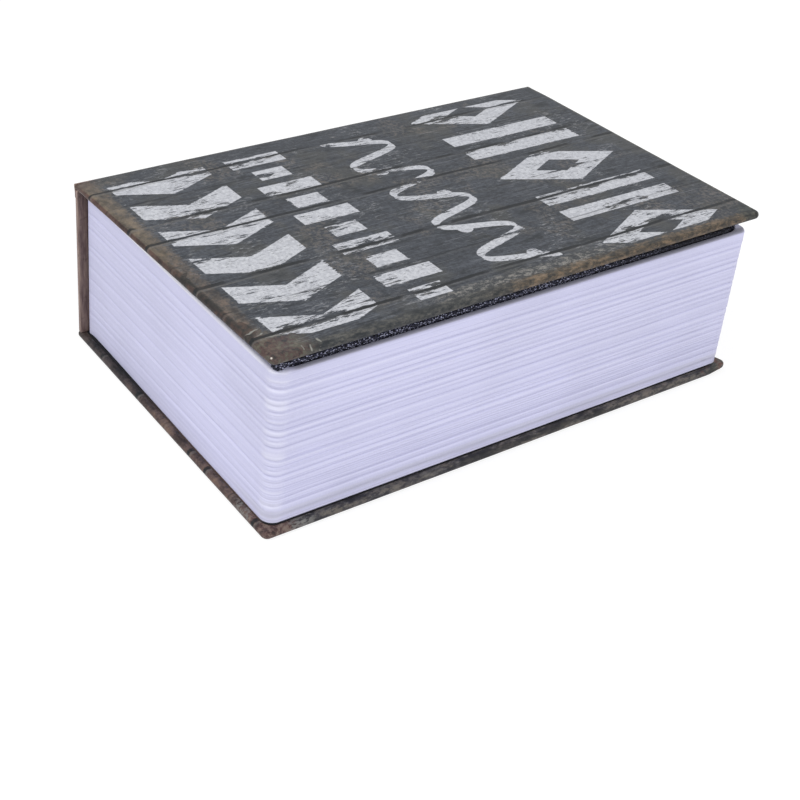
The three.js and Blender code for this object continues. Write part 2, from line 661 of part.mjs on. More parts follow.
function addPlugAndCam(group) {
  const face = BEZEL_HEIGHT - PLUG_SINK;
  const shoulder = -BARREL_LENGTH + PLUG_PLAY;
  const tailFoot = camTop - CAM + PLUG_PLAY;
  const tail = PLUG_TAIL / 2;
  const plug = cylinder(0, 0, shoulder, face, PLUG_RADIUS, 32);
  const square = box(-tail, tail, -tail, tail, tailFoot, shoulder + 1);
  const wide = box(-KEYWAY_WIDTH / 2, KEYWAY_WIDTH / 2, -KEYWAY_LENGTH / 2, 0, face - KEYWAY_DEPTH, face + 1);
  const narrow = box(-KEYWAY_WIDTH / 2, KEYWAY_WIDTH / 6, -0.5, KEYWAY_LENGTH / 2, face - KEYWAY_DEPTH, face + 1);
  const warding = cylinder(0, 0, face - 0.6, face + 1, KEYWAY_LENGTH / 4, 16);
  const screwHole = cylinder(0, 0, tailFoot - 1, tailFoot + 3, CAM_SCREW_RADIUS + PLUG_PLAY, 12);
  const solid = plug.add(square).subtract(wide).subtract(narrow).subtract(warding).subtract(screwHole);
  piece("lock_plug", solid, "chrome", group);

  const half = CAM_WIDTH / 2;
  const shape = new THREE.Shape();
  shape.absarc(0, 0, half, 0, Math.PI);
  shape.lineTo(-half * 0.75, -CAM_REACH + 2);
  shape.lineTo(-half * 0.5, -CAM_REACH);
  shape.lineTo(half * 0.5, -CAM_REACH);
  shape.lineTo(half * 0.75, -CAM_REACH + 2);
  shape.closePath();
  const hole = tail + PLUG_PLAY;
  const cam = prism(shape, camTop - CAM, camTop).subtract(box(-hole, hole, -hole, hole, camTop - CAM - 1, camTop + 1));
  piece("lock_cam", cam, "zincSteel", group);

  const seat = camTop - CAM - PLUG_PLAY / 2;
  const profile = [
    [0, seat - CAM_SCREW_HEIGHT],
    [CAM_SCREW_HEAD * 0.7, seat - CAM_SCREW_HEIGHT],
    [CAM_SCREW_HEAD, seat - CAM_SCREW_HEIGHT * 0.5],
    [CAM_SCREW_HEAD + 1, seat - CAM_SCREW_HEIGHT * 0.4],
    [CAM_SCREW_HEAD + 1, seat],
    [CAM_SCREW_RADIUS, seat],
    [CAM_SCREW_RADIUS, tailFoot + 2.5],
    [0, tailFoot + 2.5],
  ];
  const cross = CAM_SCREW_HEAD * 0.45;
  const recessTop = seat - CAM_SCREW_HEIGHT * 0.4;
  const arm = box(-cross, cross, -0.4, 0.4, seat - CAM_SCREW_HEIGHT - 1, recessTop);
  const screw = turned(profile, 24).subtract(arm).subtract(arm.rotate([0, 0, 90]));
  piece("cam_screw", screw, "zincSteel", group);
}

function addLock(parent) {
  const group = new THREE.Group();
  group.position.set(lockX, middleY, lidTop);
  parent.add(group);
  addLockBody(group);
  addWasherAndNut(group);
  addPlugAndCam(group);
}

// Keys: each in a group whose origin is the middle of the bow's slot, with the blade along +X
const slotToEnd = BOW_SLOT_FROM_END;
const bowFront = BOW_LENGTH - slotToEnd;
const keyTip = bowFront + BLADE_LENGTH;

function bowSolid() {
  const half = BOW_WIDTH / 2;
  const rect = { x0: -slotToEnd, x1: bowFront, y0: -half, y1: half };
  const body = softSlab(rect, -BOW_THICK / 2, BOW_THICK / 2, 5, 0.8);

  const span = BOW_SLOT_SPAN / 2;
  const turn = Math.asin(span / BOW_SLOT_BOW);
  const shape = new THREE.Shape();
  const centre = BOW_SLOT_BOW;
  const end = (side) => [centre - BOW_SLOT_BOW * Math.cos(turn), side * BOW_SLOT_BOW * Math.sin(turn)];
  shape.absarc(centre, 0, BOW_SLOT_BOW + BOW_SLOT / 2, Math.PI - turn, Math.PI + turn, false);
  shape.absarc(...end(-1), BOW_SLOT / 2, Math.PI + turn, 2 * Math.PI + turn, false);
  shape.absarc(centre, 0, BOW_SLOT_BOW - BOW_SLOT / 2, Math.PI + turn, Math.PI - turn, true);
  shape.absarc(...end(1), BOW_SLOT / 2, -turn, Math.PI - turn, false);
  shape.closePath();

  const panelRect = { x0: BOW_SLOT / 2 + 2.5, x1: bowFront - 3.5, y0: -half + 3, y1: half - 3 };
  const panel = roundedRect(panelRect, 1.5);
  const top = BOW_THICK / 2;
  const socketHalf = BLADE_WIDTH / 2 + BLADE_PLAY;
  const socketTop = BLADE_THICK / 2 + BLADE_PLAY;
  const socket = box(bowFront - BOW_SOCKET, bowFront + 1, -socketHalf, socketHalf, -socketTop, socketTop);
  return body
    .subtract(prism(shape, -BOW_THICK, BOW_THICK, 4))
    .subtract(prism(panel, top - BOW_RECESS, top + 1, 3))
    .subtract(prism(panel, -top - 1, -top + BOW_RECESS, 3))
    .subtract(socket);
}

function bladeSolid() {
  const half = BLADE_WIDTH / 2;
  const start = bowFront - BOW_SOCKET + BLADE_PLAY;
  const firstCut = bowFront + 8;
  const step = (keyTip - 3 - firstCut) / KEY_CUTS.length;
  const shape = new THREE.Shape();
  shape.moveTo(start, -half);
  shape.lineTo(bowFront + 5, -half);
  shape.lineTo(bowFront + 5.6, -half + 0.8);
  shape.lineTo(keyTip - 3, -half + 0.8);
  shape.lineTo(keyTip, -half + 3);
  shape.lineTo(keyTip, half - 4);
  shape.lineTo(keyTip - 3, half - 1);
  for (let i = KEY_CUTS.length - 1; i >= 0; i -= 1) {
    const x = firstCut + i * step;
    shape.lineTo(x + step * 0.75, half - KEY_CUTS[i]);
    shape.lineTo(x + step * 0.35, half - KEY_CUTS[i]);
    shape.lineTo(x, half - 0.3);
  }
  shape.lineTo(bowFront + 6, half);
  shape.lineTo(start, half);
  shape.closePath();
  const deep = BLADE_THICK / 2;
  const grooveStart = bowFront + 6.5;
  const upper = box(grooveStart, keyTip + 1, -0.9, 0.2, deep - BLADE_GROOVE, deep + 1);
  const lower = box(grooveStart, keyTip + 1, -2.3, -1.4, -deep - 1, -deep + BLADE_GROOVE);
  return prism(shape, -deep, deep).subtract(upper).subtract(lower);
}

class RingCurve extends THREE.Curve {
  getPoint(t, target = new THREE.Vector3()) {
    const angle = 2 * Math.PI * RING_TURNS * t;
    const rise = RING_PITCH * RING_TURNS * (t - 0.5);
    return target.set(RING_RADIUS * Math.sin(angle), RING_RADIUS * Math.cos(angle), rise);
  }
}

// The least gap between the wire's turns, on points of its centre line at least half a turn apart
function ringGap() {
  const steps = 24 * RING_TURNS;
  const points = new RingCurve().getPoints(steps);
  const apart = steps / RING_TURNS / 2;
  let least = Infinity;
  points.forEach((point, i) => {
    for (let j = i + apart; j < points.length; j += 1) least = Math.min(least, point.distanceTo(points[j]));
  });
  return least - 2 * RING_WIRE;
}

function ringSolid() {
  const section = new THREE.Shape();
  section.absarc(0, 0, RING_WIRE, 0, 2 * Math.PI);
  const steps = 24 * RING_TURNS;
  const options = { steps, extrudePath: new RingCurve(), bevelEnabled: false, curveSegments: RING_SECTION };
  return solidOf(new THREE.ExtrudeGeometry(section, options));
}

function addKeys(parent) {
  const halfRing = RING_RADIUS + RING_WIRE;
  const halfBand = (RING_PITCH * RING_TURNS) / 2 + RING_WIRE;
  const ringHeight = halfRing * Math.cos(RING_LEAN) + halfBand * Math.sin(RING_LEAN) + LIE_GAP;
  const slope = Math.asin((ringHeight - BLADE_THICK / 2 - LIE_GAP) / keyTip);
  const group = new THREE.Group();
  group.position.set(tray.x0 + SHEET + KEYS_FROM_HINGE, middleY, trayFloor);
  parent.add(group);

  const ring = piece("split_ring", ringSolid(), "zincSteel", group);
  ring.position.z = ringHeight;
  ring.rotation.y = Math.PI / 2 - RING_LEAN;

  [-1, 1].forEach((side, i) => {
    const key = new THREE.Group();
    key.position.set(0, side * RING_RADIUS, ringHeight);
    key.rotation.set(0, slope, (side * Math.PI) / 2, "ZYX");
    group.add(key);
    piece(`key_${i + 1}_bow`, bowSolid(), "blackPlastic", key);
    piece(`key_${i + 1}_blade`, bladeSolid(), "keyNickel", key);
  });
}

const safe = new THREE.Group();
addBackCover(safe);
addSpine(safe);
addFrontCover(safe);
addPageShell(safe);
addTray(safe);
addHingePin(safe);
addRivets(safe);
addKeeper(safe);
addLid(safe);
addLock(safe);
addKeys(safe);

console.log(`split ring: least gap between its turns ${ringGap().toFixed(2)} mm`);

export default safe;
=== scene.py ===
"""Book diversion safe: looks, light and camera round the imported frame. Lengths are millimetres unless said."""

import math

import bmesh
import bpy
from mathutils import Matrix, Vector, noise


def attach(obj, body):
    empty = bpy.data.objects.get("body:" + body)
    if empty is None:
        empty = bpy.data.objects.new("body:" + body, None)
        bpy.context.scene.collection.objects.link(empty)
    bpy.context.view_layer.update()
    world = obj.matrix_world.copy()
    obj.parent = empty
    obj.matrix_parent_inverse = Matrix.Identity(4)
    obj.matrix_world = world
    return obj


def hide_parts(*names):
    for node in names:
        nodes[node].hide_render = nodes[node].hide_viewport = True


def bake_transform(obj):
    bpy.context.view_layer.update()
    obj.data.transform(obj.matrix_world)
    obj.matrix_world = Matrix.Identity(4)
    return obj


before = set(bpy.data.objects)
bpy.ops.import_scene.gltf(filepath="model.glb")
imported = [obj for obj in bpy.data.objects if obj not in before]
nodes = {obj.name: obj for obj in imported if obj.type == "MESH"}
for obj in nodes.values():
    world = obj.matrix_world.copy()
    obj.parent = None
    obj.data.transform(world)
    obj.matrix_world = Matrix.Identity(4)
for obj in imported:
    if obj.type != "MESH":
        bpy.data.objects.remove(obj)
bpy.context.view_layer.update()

# A millimetre in metres
MM = 0.001

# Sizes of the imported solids
COVER_LENGTH = 180.0
COVER_WIDTH = 115.5
FRONT_WIDTH = 113.9
HALF_LENGTH = COVER_LENGTH / 2
HALF_WIDTH = COVER_WIDTH / 2
CASE_THICK = 2.4
CASE_CORNERS = (0.8, 2.0, 2.0, 0.8)
COVER_HINGE_Z = 53.201
COVER_LIFT_ANGLE = math.radians(1.6854)
SPINE_FACE = -57.25
SPINE_THICK = 2.0
PAGE = (-55.15, 55.0, -87.7, 87.7)
PAGE_Z = (2.45, 52.601)
PAGE_WALL = 2.0
THROAT = (-48.6, 51.2, -83.9, 83.9)
LEDGE_Z = (37.601, 39.101)
LINING = 1.8
GLUE = 0.1
LOCK = (31.2, 0.0, 46.501)
BARREL_RADIUS = 8.0
BARREL_FLAT = 6.9
BARREL_LENGTH = 16.0
THREAD_DEPTH = 0.3
PLUG_BORE = 6.1
RING_AT = (-31.2, 0.0, 15.483)
RING_RADIUS = 11.8
RING_WIRE = 0.65
RING_PITCH = 1.75
RING_LEAN = math.radians(36.0)
KEY_SLOPE = math.asin((RING_AT[2] - 3.7 - 1.05 - 0.3) / 48.4)

# Where the camera stands, in metres, and its azimuth, elevation and roll in degrees, as the book's corners give them
CAMERA_PLACE = (0.31364, -0.26104, 0.26684)
CAMERA_TURN = (51.9468, 34.1940, 5.9786)
LENS = 66.71
LENS_SHIFT = (0.04136, -0.03097)

# Height of each groove between the ribs, its force at the fore-edge and at the tail and head, and its half width
RIBS = (
    (3.3, 0.3, 0.0, 0.2), (4.7, 0.6, 0.2, 0.8), (6.4, 0.0, 0.3, 0.4), (8.4, 0.6, 0.2, 0.36),
    (10.8, 0.8, 0.7, 0.36), (12.4, 0.2, 0.0, 0.24), (13.6, 0.3, 0.3, 0.24), (14.6, 0.25, 0.0, 0.24),
    (15.4, 0.3, 0.0, 0.24), (16.4, 0.8, 0.15, 0.36), (18.7, 0.9, 0.95, 0.4), (20.4, 0.45, 0.0, 0.3),
    (21.7, 0.6, 0.15, 0.3), (23.9, 0.95, 0.85, 0.4), (25.4, 0.3, 0.0, 0.25), (28.3, 0.9, 0.8, 0.4),
    (30.2, 0.4, 0.1, 0.3), (31.7, 0.65, 0.2, 0.36), (33.9, 1.0, 0.8, 0.42), (35.9, 0.6, 0.85, 0.36),
    (37.5, 0.25, 0.3, 0.25), (38.7, 0.4, 0.0, 0.25), (39.7, 0.8, 0.1, 0.36), (41.8, 1.0, 0.8, 0.42),
    (43.7, 0.7, 0.8, 0.36), (45.0, 0.25, 0.0, 0.25), (47.1, 0.9, 1.0, 0.4), (48.9, 0.45, 0.1, 0.3),
)


# Materials
def linear(code):
    """The linear colour of an sRGB hex code."""
    values = []
    for i in (1, 3, 5):
        c = int(code[i : i + 2], 16) / 255
        values.append(c / 12.92 if c <= 0.04045 else ((c + 0.055) / 1.055) ** 2.4)
    return (*values, 1.0)


# Settings that every node of a kind has here
USUAL = {"MapRange": {"interpolation_type": "SMOOTHSTEP"}, "Mix": {"data_type": "RGBA"}}


def add(kind, *values, tree=None, out=None, stops=(), **settings):
    """Adds a node to the named tree, or to that of the values it takes, and gives its output out, or else the first.
    Values go to its open inputs in order, and a setting with a capital goes to the input of that name. A hex code
    stands for its colour, and stops are the places and colours of a ramp."""
    if tree is None:
        tree = next(v.socket.id_data for v in (*values, *settings.values()) if isinstance(v, Value))
    node = tree.nodes.new("ShaderNode" + kind)
    for name, value in {**USUAL.get(kind, {}), **settings}.items():
        if name.islower():
            setattr(node, name, value)
    given = list(zip([socket for socket in node.inputs if socket.enabled], values))
    given += [(node.inputs[name], value) for name, value in settings.items() if not name.islower()]
    for socket, value in given:
        if isinstance(value, Value):
            tree.links.new(value.socket, socket)
        elif value is not None:
            socket.default_value = linear(value) if isinstance(value, str) else value
    if stops:
        elements = node.color_ramp.elements
        while len(elements) < len(stops):
            elements.new(1.0)
        for element, (place, code) in zip(elements, stops):
            element.position = place
            element.color = linear(code)
    return Value(node.outputs[out] if out else next((socket for socket in node.outputs if socket.enabled), None))


class Value:
    """What a node gives over a surface, a number or a place. Sums, products and powers of values add nodes too, and so
    do a & b, the lesser of two, where both are, and a | b, the greater, where either is."""

    def __init__(self, socket):
        self.socket = socket

    def worked(self, operation, *values):
        kind = "VectorMath" if self.socket.type == "VECTOR" else "Math"
        return add(kind, *values, operation=operation)

    def __add__(self, other):
        return self.worked("ADD", self, other)

    def __sub__(self, other):
        return self.worked("SUBTRACT", self, other)

    def __rsub__(self, other):
        return self.worked("SUBTRACT", other, self)

    def __mul__(self, other):
        return self.worked("MULTIPLY", self, other)

    def __truediv__(self, other):
        return self.worked("DIVIDE", self, other)

    def __pow__(self, other):
        return self.worked("POWER", self, other)

    def __and__(self, other):
        return self.worked("MINIMUM", self, other)

    def __or__(self, other):
        return self.worked("MAXIMUM", self, other)

    def __abs__(self):
        return self.worked("ABSOLUTE", self)

    __radd__, __rmul__, __rand__, __ror__ = __add__, __mul__, __and__, __or__


class Coat:
    """One material: point, x, y and z are places in the closed book, and what is done with them ends in done()."""

    def __init__(self, name, roughness=0.5, specular=0.5, metallic=0.0):
        self.material = bpy.data.materials.new(name)
        self.material.use_nodes = True
        tree = self.material.node_tree
        tree.nodes.clear()
        level = {"Specular IOR Level": specular}
        shader = add("BsdfPrincipled", tree=tree, Roughness=roughness, Metallic=metallic, **level)
        add("OutputMaterial", shader)
        self.inputs = shader.socket.node.inputs
        self.point = add("VectorMath", add("TexCoord", tree=tree, out="Object"), 1 / MM, operation="SCALE")
        self.x, self.y, self.z = (add("SeparateXYZ", self.point, out=axis) for axis in "XYZ")

    def done(self, colour, roughness=None, bump=None):
        for name, value in (("Base Color", colour), ("Roughness", roughness), ("Normal", bump)):
            if value is not None:
                self.material.node_tree.links.new(value.socket, self.inputs[name])
        return self.material


# A distance beyond all others
FAR = 99.0


def row_cell(along, start, pitch):
    """Where a point lies in a row of equal cells: its distance from the cell's middle, and the cell's number."""
    place = (along - start) / pitch
    number = add("Math", place, operation="FLOOR")
    middle = (place - number - 0.5) * pitch
    return middle, number


def motifs(u, v):
    """Distance in from the edge of the nearest motif, negative outside. From tail to head they are a row of chevrons,
    one of teeth, a wavy line with dots, and lozenges and bars by turns. Each stops short of the cover's sides."""
    # broad chevrons near the tail
    cu, number = row_cell(u, -54.0, 18.0)
    cv = v + 66.5
    slant = cu + abs(cv) * 0.42
    chevrons = (4.9 - abs(slant - 3.2)) & (16.5 - abs(cv)) & (50.0 - abs(u))
    # teeth, long and short by turns
    cu, number = row_cell(u, -51.6, 10.32)
    cv = v + 33.0
    odd = add("Math", number, 1.0, operation="PINGPONG")
    reach = 9.8 + odd * -4.2
    teeth = (3.4 - abs(cu)) & (reach - abs(cv)) & (50.0 - abs(u))
    # a wavy line of even width, thicker on its slopes, with dots in its bends
    bends, sway = 0.29, 10.5
    swing = add("Math", u * bends, operation="SINE") * sway
    slope = add("Math", u * bends, operation="COSINE") * (bends * sway)
    cv = v - 3.0
    off_line = (cv - swing) / add("Math", slope * slope + 1.0, operation="SQRT")
    wavy = 0.8 + abs(slope) * 0.35 - abs(off_line)
    cu, number = row_cell(u, -54.2, 21.67)
    side = add("Math", number, 1.0, operation="PINGPONG") * 2.0 - 1.0
    spot_v = cv + side * 4.5
    spots = 2.6 - add("Math", cu * cu + spot_v * spot_v, operation="SQRT")
    wavy = (wavy | spots) & (48.0 - abs(u))
    # open lozenges and paired bars near the head
    cu, number = row_cell(u, -60.0, 24.0)
    cv = v - 54.0
    odd = add("Math", number, 1.0, operation="PINGPONG")
    lozenge = abs(cu) + abs(cv) * 0.48
    open_lozenge = (11.8 - lozenge) & (lozenge - 4.4)
    bars = (3.5 - abs(abs(cu) - 5.6)) & (22.5 - abs(cv))
    by_turns = (open_lozenge & (0.5 - odd) * FAR) | (bars & (odd - 0.5) * FAR)
    return chevrons | teeth | wavy | (by_turns & (52.0 - abs(u)))


def plank_lines(coat, u, v, planks):
    """The gaps between printed planks, which run along the book: how dark, how pale the edge beside each is, and how
    far off. Each of planks gives the place of a gap, half its width, and how strong it is."""
    free = add("MapRange", v, -90.0, -60.0)
    wander = (add("TexNoise", coat.point * (0.02, 0.02, 0.02), 1.0, 2.0, 0.55) - 0.5) * 3.0 * free
    fray = (add("TexNoise", (coat.point + (9.0, 3.0, 0.0)) * (1.6, 0.5, 1.6), 1.0, 3.0, 0.7) - 0.5) * 0.7
    moved = u + wander + fray
    dark, pale, near = 0.0, 0.0, FAR
    for place, half, strength in planks:
        off = moved - place
        near = near & (abs(off) + 2.5 * (1.0 - strength))
        dark = dark | add("MapRange", abs(off), half, half * 2.0, 1.0, 0.0) * strength
        pale = pale | add("MapRange", abs(off - (half + 0.75)), 0.15, 0.6, 1.0, 0.0) * strength
    broken = add("MapRange", add("TexNoise", coat.point, 0.07, 2.0, 0.55), 0.38, 0.52, 0.15, 1.0)
    at_end = add("MapRange", v, -89.0, -86.0, 1.0, 0.0)
    return dark * (broken | at_end), pale, near


def both_ends(ramps, pattern, change):
    """The colours of a pattern at one end of a cover, which change over to those at its other end."""
    near, off = (add("ValToRGB", pattern, stops=stops) for stops in ramps)
    return add("Mix", change, near, off)


def printed(name, front, planks, turn, reach, tail, rim, edge, fore):
    """Matt-laminated printed paper, wrapped round board: weathered slate-grey planks, on the front with off-white
    motifs, its film dull and its ink rubbed through to brown and tan at the edges. The printed grain is 0.6 mm wide and
    6 mm long, and its streaks of 0.1 mm are drawn at 0.3 mm so that they show.
    tail, rim and edge each hold the colours by the spine and by the fore-edge, which change over at turn, and fore
    those towards the tail and towards the head. reach is how far the worn band comes in from the tail."""
    coat = Coat(name, 0.5, 0.2)
    u, v = coat.x, coat.y
    grain = add("TexNoise", coat.point * (1.7, 0.16, 1.7), 1.0, 6.0, 0.7)
    fine = add("TexNoise", coat.point * (3.8, 1.0, 3.8), 1.0, 4.0, 0.7)
    mottle = add("TexNoise", coat.point, 0.7, 5.0, 0.75)
    patches = add("TexNoise", coat.point, 0.05, 4.0, 0.65)
    small = add("TexNoise", coat.point, 0.9, 4.0, 0.65)
    tone = grain * 0.6 + mottle * 0.4
    colour = add("ValToRGB", tone, stops=((0.41, "#2A2D33"), (0.5, "#3F434A"), (0.58, "#52565D")))
    boards = add("TexNoise", (coat.point + (3.0, 21.0, 0.0)) * (0.1, 0.008, 0.1), 1.0, 1.0, 0.5)
    colour = add("Mix", add("MapRange", boards, 0.36, 0.66, 0.3, 0.0), colour, "#24282D")
    colour = add("Mix", add("MapRange", patches, 0.5, 0.62) * 0.5, colour, "#4A4A47")
    colour = add("Mix", add("MapRange", fine, 0.58, 0.7) * 0.5, colour, "#6E7176")

    # pale rubbed streaks, smudges and scratches in some places
    rubbed = add("TexNoise", (coat.point + (31.0, 7.0, 0.0)) * (1.2, 0.4, 1.2), 1.0, 5.0, 0.75)
    where = add("MapRange", add("TexNoise", coat.point + (90.0, 40.0, 0.0), 0.055, 3.0, 0.6), 0.5, 0.6)
    colour = add("Mix", add("MapRange", rubbed, 0.53, 0.63) * where * 0.75, colour, "#8B8D90")
    stain = add("MapRange", add("TexNoise", coat.point + (5.0, 140.0, 0.0), 0.045, 3.0, 0.6), 0.54, 0.62)
    colour = add("Mix", add("MapRange", mottle, 0.46, 0.6) * stain * 0.55, colour, "#6D665E")
    scored = add("TexNoise", (coat.point + (12.0, 44.0, 0.0)) * (3.2, 0.07, 3.2), 1.0, 3.0, 0.6)
    colour = add("Mix", add("MapRange", scored, 0.6, 0.68) * 0.5, colour, "#7F8286")
    dusky = add("TexNoise", (coat.point + (5.0, 60.0, 0.0)) * (0.4, 0.1, 0.4), 1.0, 5.0, 0.7)
    dusky = add("MapRange", dusky, 0.53, 0.66)
    colour = add("Mix", dusky * 0.75, colour, "#23272B")

    # worn band along the tail, another on its rounded rim, and the board's side
    ragged = (small - 0.5) * 6.0
    worn = add("TexNoise", coat.point, 0.22, 6.0, 0.72)
    far = add("MapRange", u + (patches - 0.5) * 40.0, *turn)
    from_tail = v + HALF_LENGTH + ragged
    by_tail = add("MapRange", from_tail, reach - 1.0, reach + 2.0, 1.0, 0.0)
    share = by_tail * add("MapRange", mottle, 0.38, 0.52, 0.45, 0.95)
    colour = add("Mix", share, colour, both_ends(tail, worn, far))
    blob = add("TexNoise", coat.point + (7.0, 2.0, 0.0), 0.13, 3.0, 0.6)
    rim_reach = 1.5 + add("MapRange", blob, 0.48, 0.62) * 2.0
    share = add("MapRange", v + HALF_LENGTH - rim_reach, -0.5, 0.4, 1.0, 0.0) * (far * 0.5 + 0.45)
    colour = add("Mix", share, colour, both_ends(rim, worn, far))
    side = add("MapRange", v, -89.75, -89.35, 1.0, 0.0)
    colour = add("Mix", side, colour, both_ends(edge, worn, far))
    from_head = HALF_LENGTH - v + ragged * 0.5
    colour = add("Mix", add("MapRange", from_head, 0.8, 2.4, 0.5, 0.0), colour, "#55514A")

    # the fore-edge: ashen, then dusty, then tan along the rim only
    width = FRONT_WIDTH if front else COVER_WIDTH
    to_rim = width - HALF_WIDTH - u
    from_fore = to_rim + ragged * 0.7
    ashen = add("MapRange", v, -44.0, -26.0) * add("MapRange", v, 20.0, 50.0, 1.0, 0.0)
    ashen = ashen * add("MapRange", from_fore, 5.5, 8.5, 1.0, 0.0)
    ash = add("TexNoise", coat.point * (0.7, 0.4, 0.7), 1.0, 6.0, 0.85)
    ash = add("ValToRGB", ash, stops=((0.42, "#303336"), (0.5, "#4A4B4B"), (0.58, "#8F8C86")))
    colour = add("Mix", ashen * 0.8, colour, ash)
    by_fore = add("MapRange", from_fore, 2.2, 3.6, 1.0, 0.0)
    high = add("MapRange", v + (patches - 0.5) * 50.0, -24.0, 4.0)
    flaked = add("TexNoise", coat.point * (1.0, 0.5, 1.0), 0.5, 6.0, 0.76)
    colour = add("Mix", by_fore * 0.85, colour, both_ends(fore, flaked, high))
    spine_side = add("MapRange", u + HALF_WIDTH + ragged * 0.4, 0.6, 2.2, 1.0, 0.0)
    colour = add("Mix", spine_side * 0.5, colour, "#4E4C49")
    corner = add("Math", to_rim * to_rim + from_head * from_head, operation="SQRT")
    shade = add("ValToRGB", flaked, stops=((0.42, "#26292A"), (0.56, "#454A46"), (0.66, "#6E6354")))
    share = add("MapRange", corner, 5.0, 10.0, 0.8, 0.0)
    colour = add("Mix", share, colour, shade)

    # painted shade in a fold at the head tip, reddish dirt and pale arcs at the tail corner of the fore-edge
    if front:
        fold_shade = add("MapRange", to_rim - from_head, -1.6, -0.4, 1.0, 0.2)
        fold_shade = fold_shade * add("MapRange", abs(corner - 2.1), 0.25, 0.7, 1.0, 0.0)
        colour = add("Mix", fold_shade * 0.85, colour, "#1B1A1A")
        grimy = add("VectorMath", coat.point * (1.0, 1.0, 0.0) - (53.0, -86.0, 0.0), operation="LENGTH")
        dirt = add("TexNoise", coat.point + (8.0, 8.0, 0.0), 0.35, 5.0, 0.75)
        stops = ((0.4, "#2E2C2B"), (0.48, "#5B4440"), (0.54, "#57554A"), (0.62, "#6F685B"))
        dirt = add("ValToRGB", dirt, stops=stops)
        colour = add("Mix", add("MapRange", grimy + ragged, 5.0, 12.0, 0.7, 0.0), colour, dirt)
        bent = grimy + add("TexNoise", coat.point, 0.15, 2.0, 0.55) * 5.0
        off_arc = abs(add("Math", bent, 2.6, operation="PINGPONG") - 1.3)
        arc = add("MapRange", grimy, 5.0, 6.0) * add("MapRange", grimy, 11.0, 14.0, 1.0, 0.0)
        arc = arc * add("MapRange", off_arc, 0.1, 0.35, 1.0, 0.0)
        share = arc * add("MapRange", add("TexNoise", coat.point + (4.0, 50.0, 0.0), 0.3, 3.0, 0.6), 0.5, 0.6)
        colour = add("Mix", share, colour, "#8A8A84")

    # the motifs: crisp, torn in places, most beside the gaps, crazed along the planks
    gaps, lips, near = plank_lines(coat, u, v, planks)
    if front:
        inside = motifs(u, v)
        torn = add("TexNoise", (coat.point + (60.0, 9.0, 0.0)) * (1.0, 0.6, 1.0), 0.07, 3.0, 0.6)
        torn = add("MapRange", torn, 0.5, 0.62, 0.5, 3.4)
        tear = (add("TexNoise", (coat.point + (3.0, 0.0, 0.0)) * (1.7, 0.3, 1.7), 1.0, 4.0, 0.72) - 0.5) * torn
        paint = add("MapRange", inside + (tear - 0.1), -0.07, 0.1)
        dry = add("TexNoise", (coat.point + (50.0, 11.0, 0.0)) * (1.5, 0.16, 1.5), 1.0, 6.0, 0.74)
        thin_area = add("MapRange", add("TexNoise", coat.point + (17.0, 80.0, 0.0), 0.06, 2.0, 0.5), 0.42, 0.62)
        worn_off = add("MapRange", dry + thin_area * 0.1, 0.635, 0.66)
        cracks = add("TexNoise", (coat.point + (5.0, 71.0, 0.0)) * (3.4, 0.42, 3.4), 1.0, 2.0, 0.6)
        cracks = add("MapRange", cracks, 0.635, 0.665)
        paint = paint * (1.0 - (worn_off | (cracks * 0.7)))
        chipped = add("TexNoise", (coat.point + (21.0, 5.0, 0.0)) * (0.9, 0.16, 0.9), 1.0, 4.0, 0.7)
        bite = add("MapRange", add("TexNoise", coat.point + (2.0, 33.0, 0.0), 0.05, 2.0, 0.5), 0.4, 0.6, 0.0, 2.6)
        paint = paint * add("MapRange", near - add("MapRange", chipped, 0.42, 0.6) * bite, 0.4, 0.6)
        white = add("TexNoise", coat.point, 0.9, 5.0, 0.75)
        white = add("ValToRGB", white, stops=((0.36, "#ADAFB5"), (0.5, "#C0C2C8"), (0.62, "#D0D2D6")))
        colour = add("Mix", paint * 0.97, colour, white)
    else:
        patch = add("MapRange", add("TexNoise", coat.point, 0.3, 4.0, 0.7), 0.44, 0.56)
        patch = patch * add("MapRange", corner, 9.0, 13.0, 1.0, 0.0)
        colour = add("Mix", patch * 0.7, colour, "#6A4A44")
        along = add("TexNoise", (coat.point + (6.0, 15.0, 0.0)) * (0.22, 0.07, 0.22), 1.0, 3.0, 0.6)
        flecks = add("TexNoise", (coat.point + (2.0, 90.0, 0.0)) * (0.9, 0.4, 0.9), 1.0, 5.0, 0.78)
        dusty = add("MapRange", to_rim, 4.0, 6.0, 1.0, 0.0)
        colour = add("Mix", dusty * add("MapRange", along, 0.42, 0.5, 0.7, 0.0), colour, "#232325")
        share = dusty * add("MapRange", along, 0.48, 0.58) * add("MapRange", flecks, 0.44, 0.58, 0.05, 0.75)
        colour = add("Mix", share, colour, "#706A62")
        nearest = add("VectorMath", coat.point * (1.0, 1.0, 0.0) - (56.0, -88.5, 0.0), operation="LENGTH")
        grime = add("TexNoise", coat.point + (8.0, 8.0, 0.0), 0.5, 5.0, 0.78)
        grime = add("ValToRGB", grime, stops=((0.4, "#322727"), (0.49, "#5A4441"), (0.58, "#77685F")))
        colour = add("Mix", add("MapRange", nearest + ragged * 0.6, 7.0, 11.0, 0.9, 0.0), colour, grime)
        chalk = add("MapRange", nearest, 6.0, 8.0) * add("MapRange", nearest, 13.0, 17.0, 1.0, 0.0)
        colour = add("Mix", chalk * add("MapRange", flecks, 0.46, 0.54, 0.0, 0.6), colour, "#84837F")

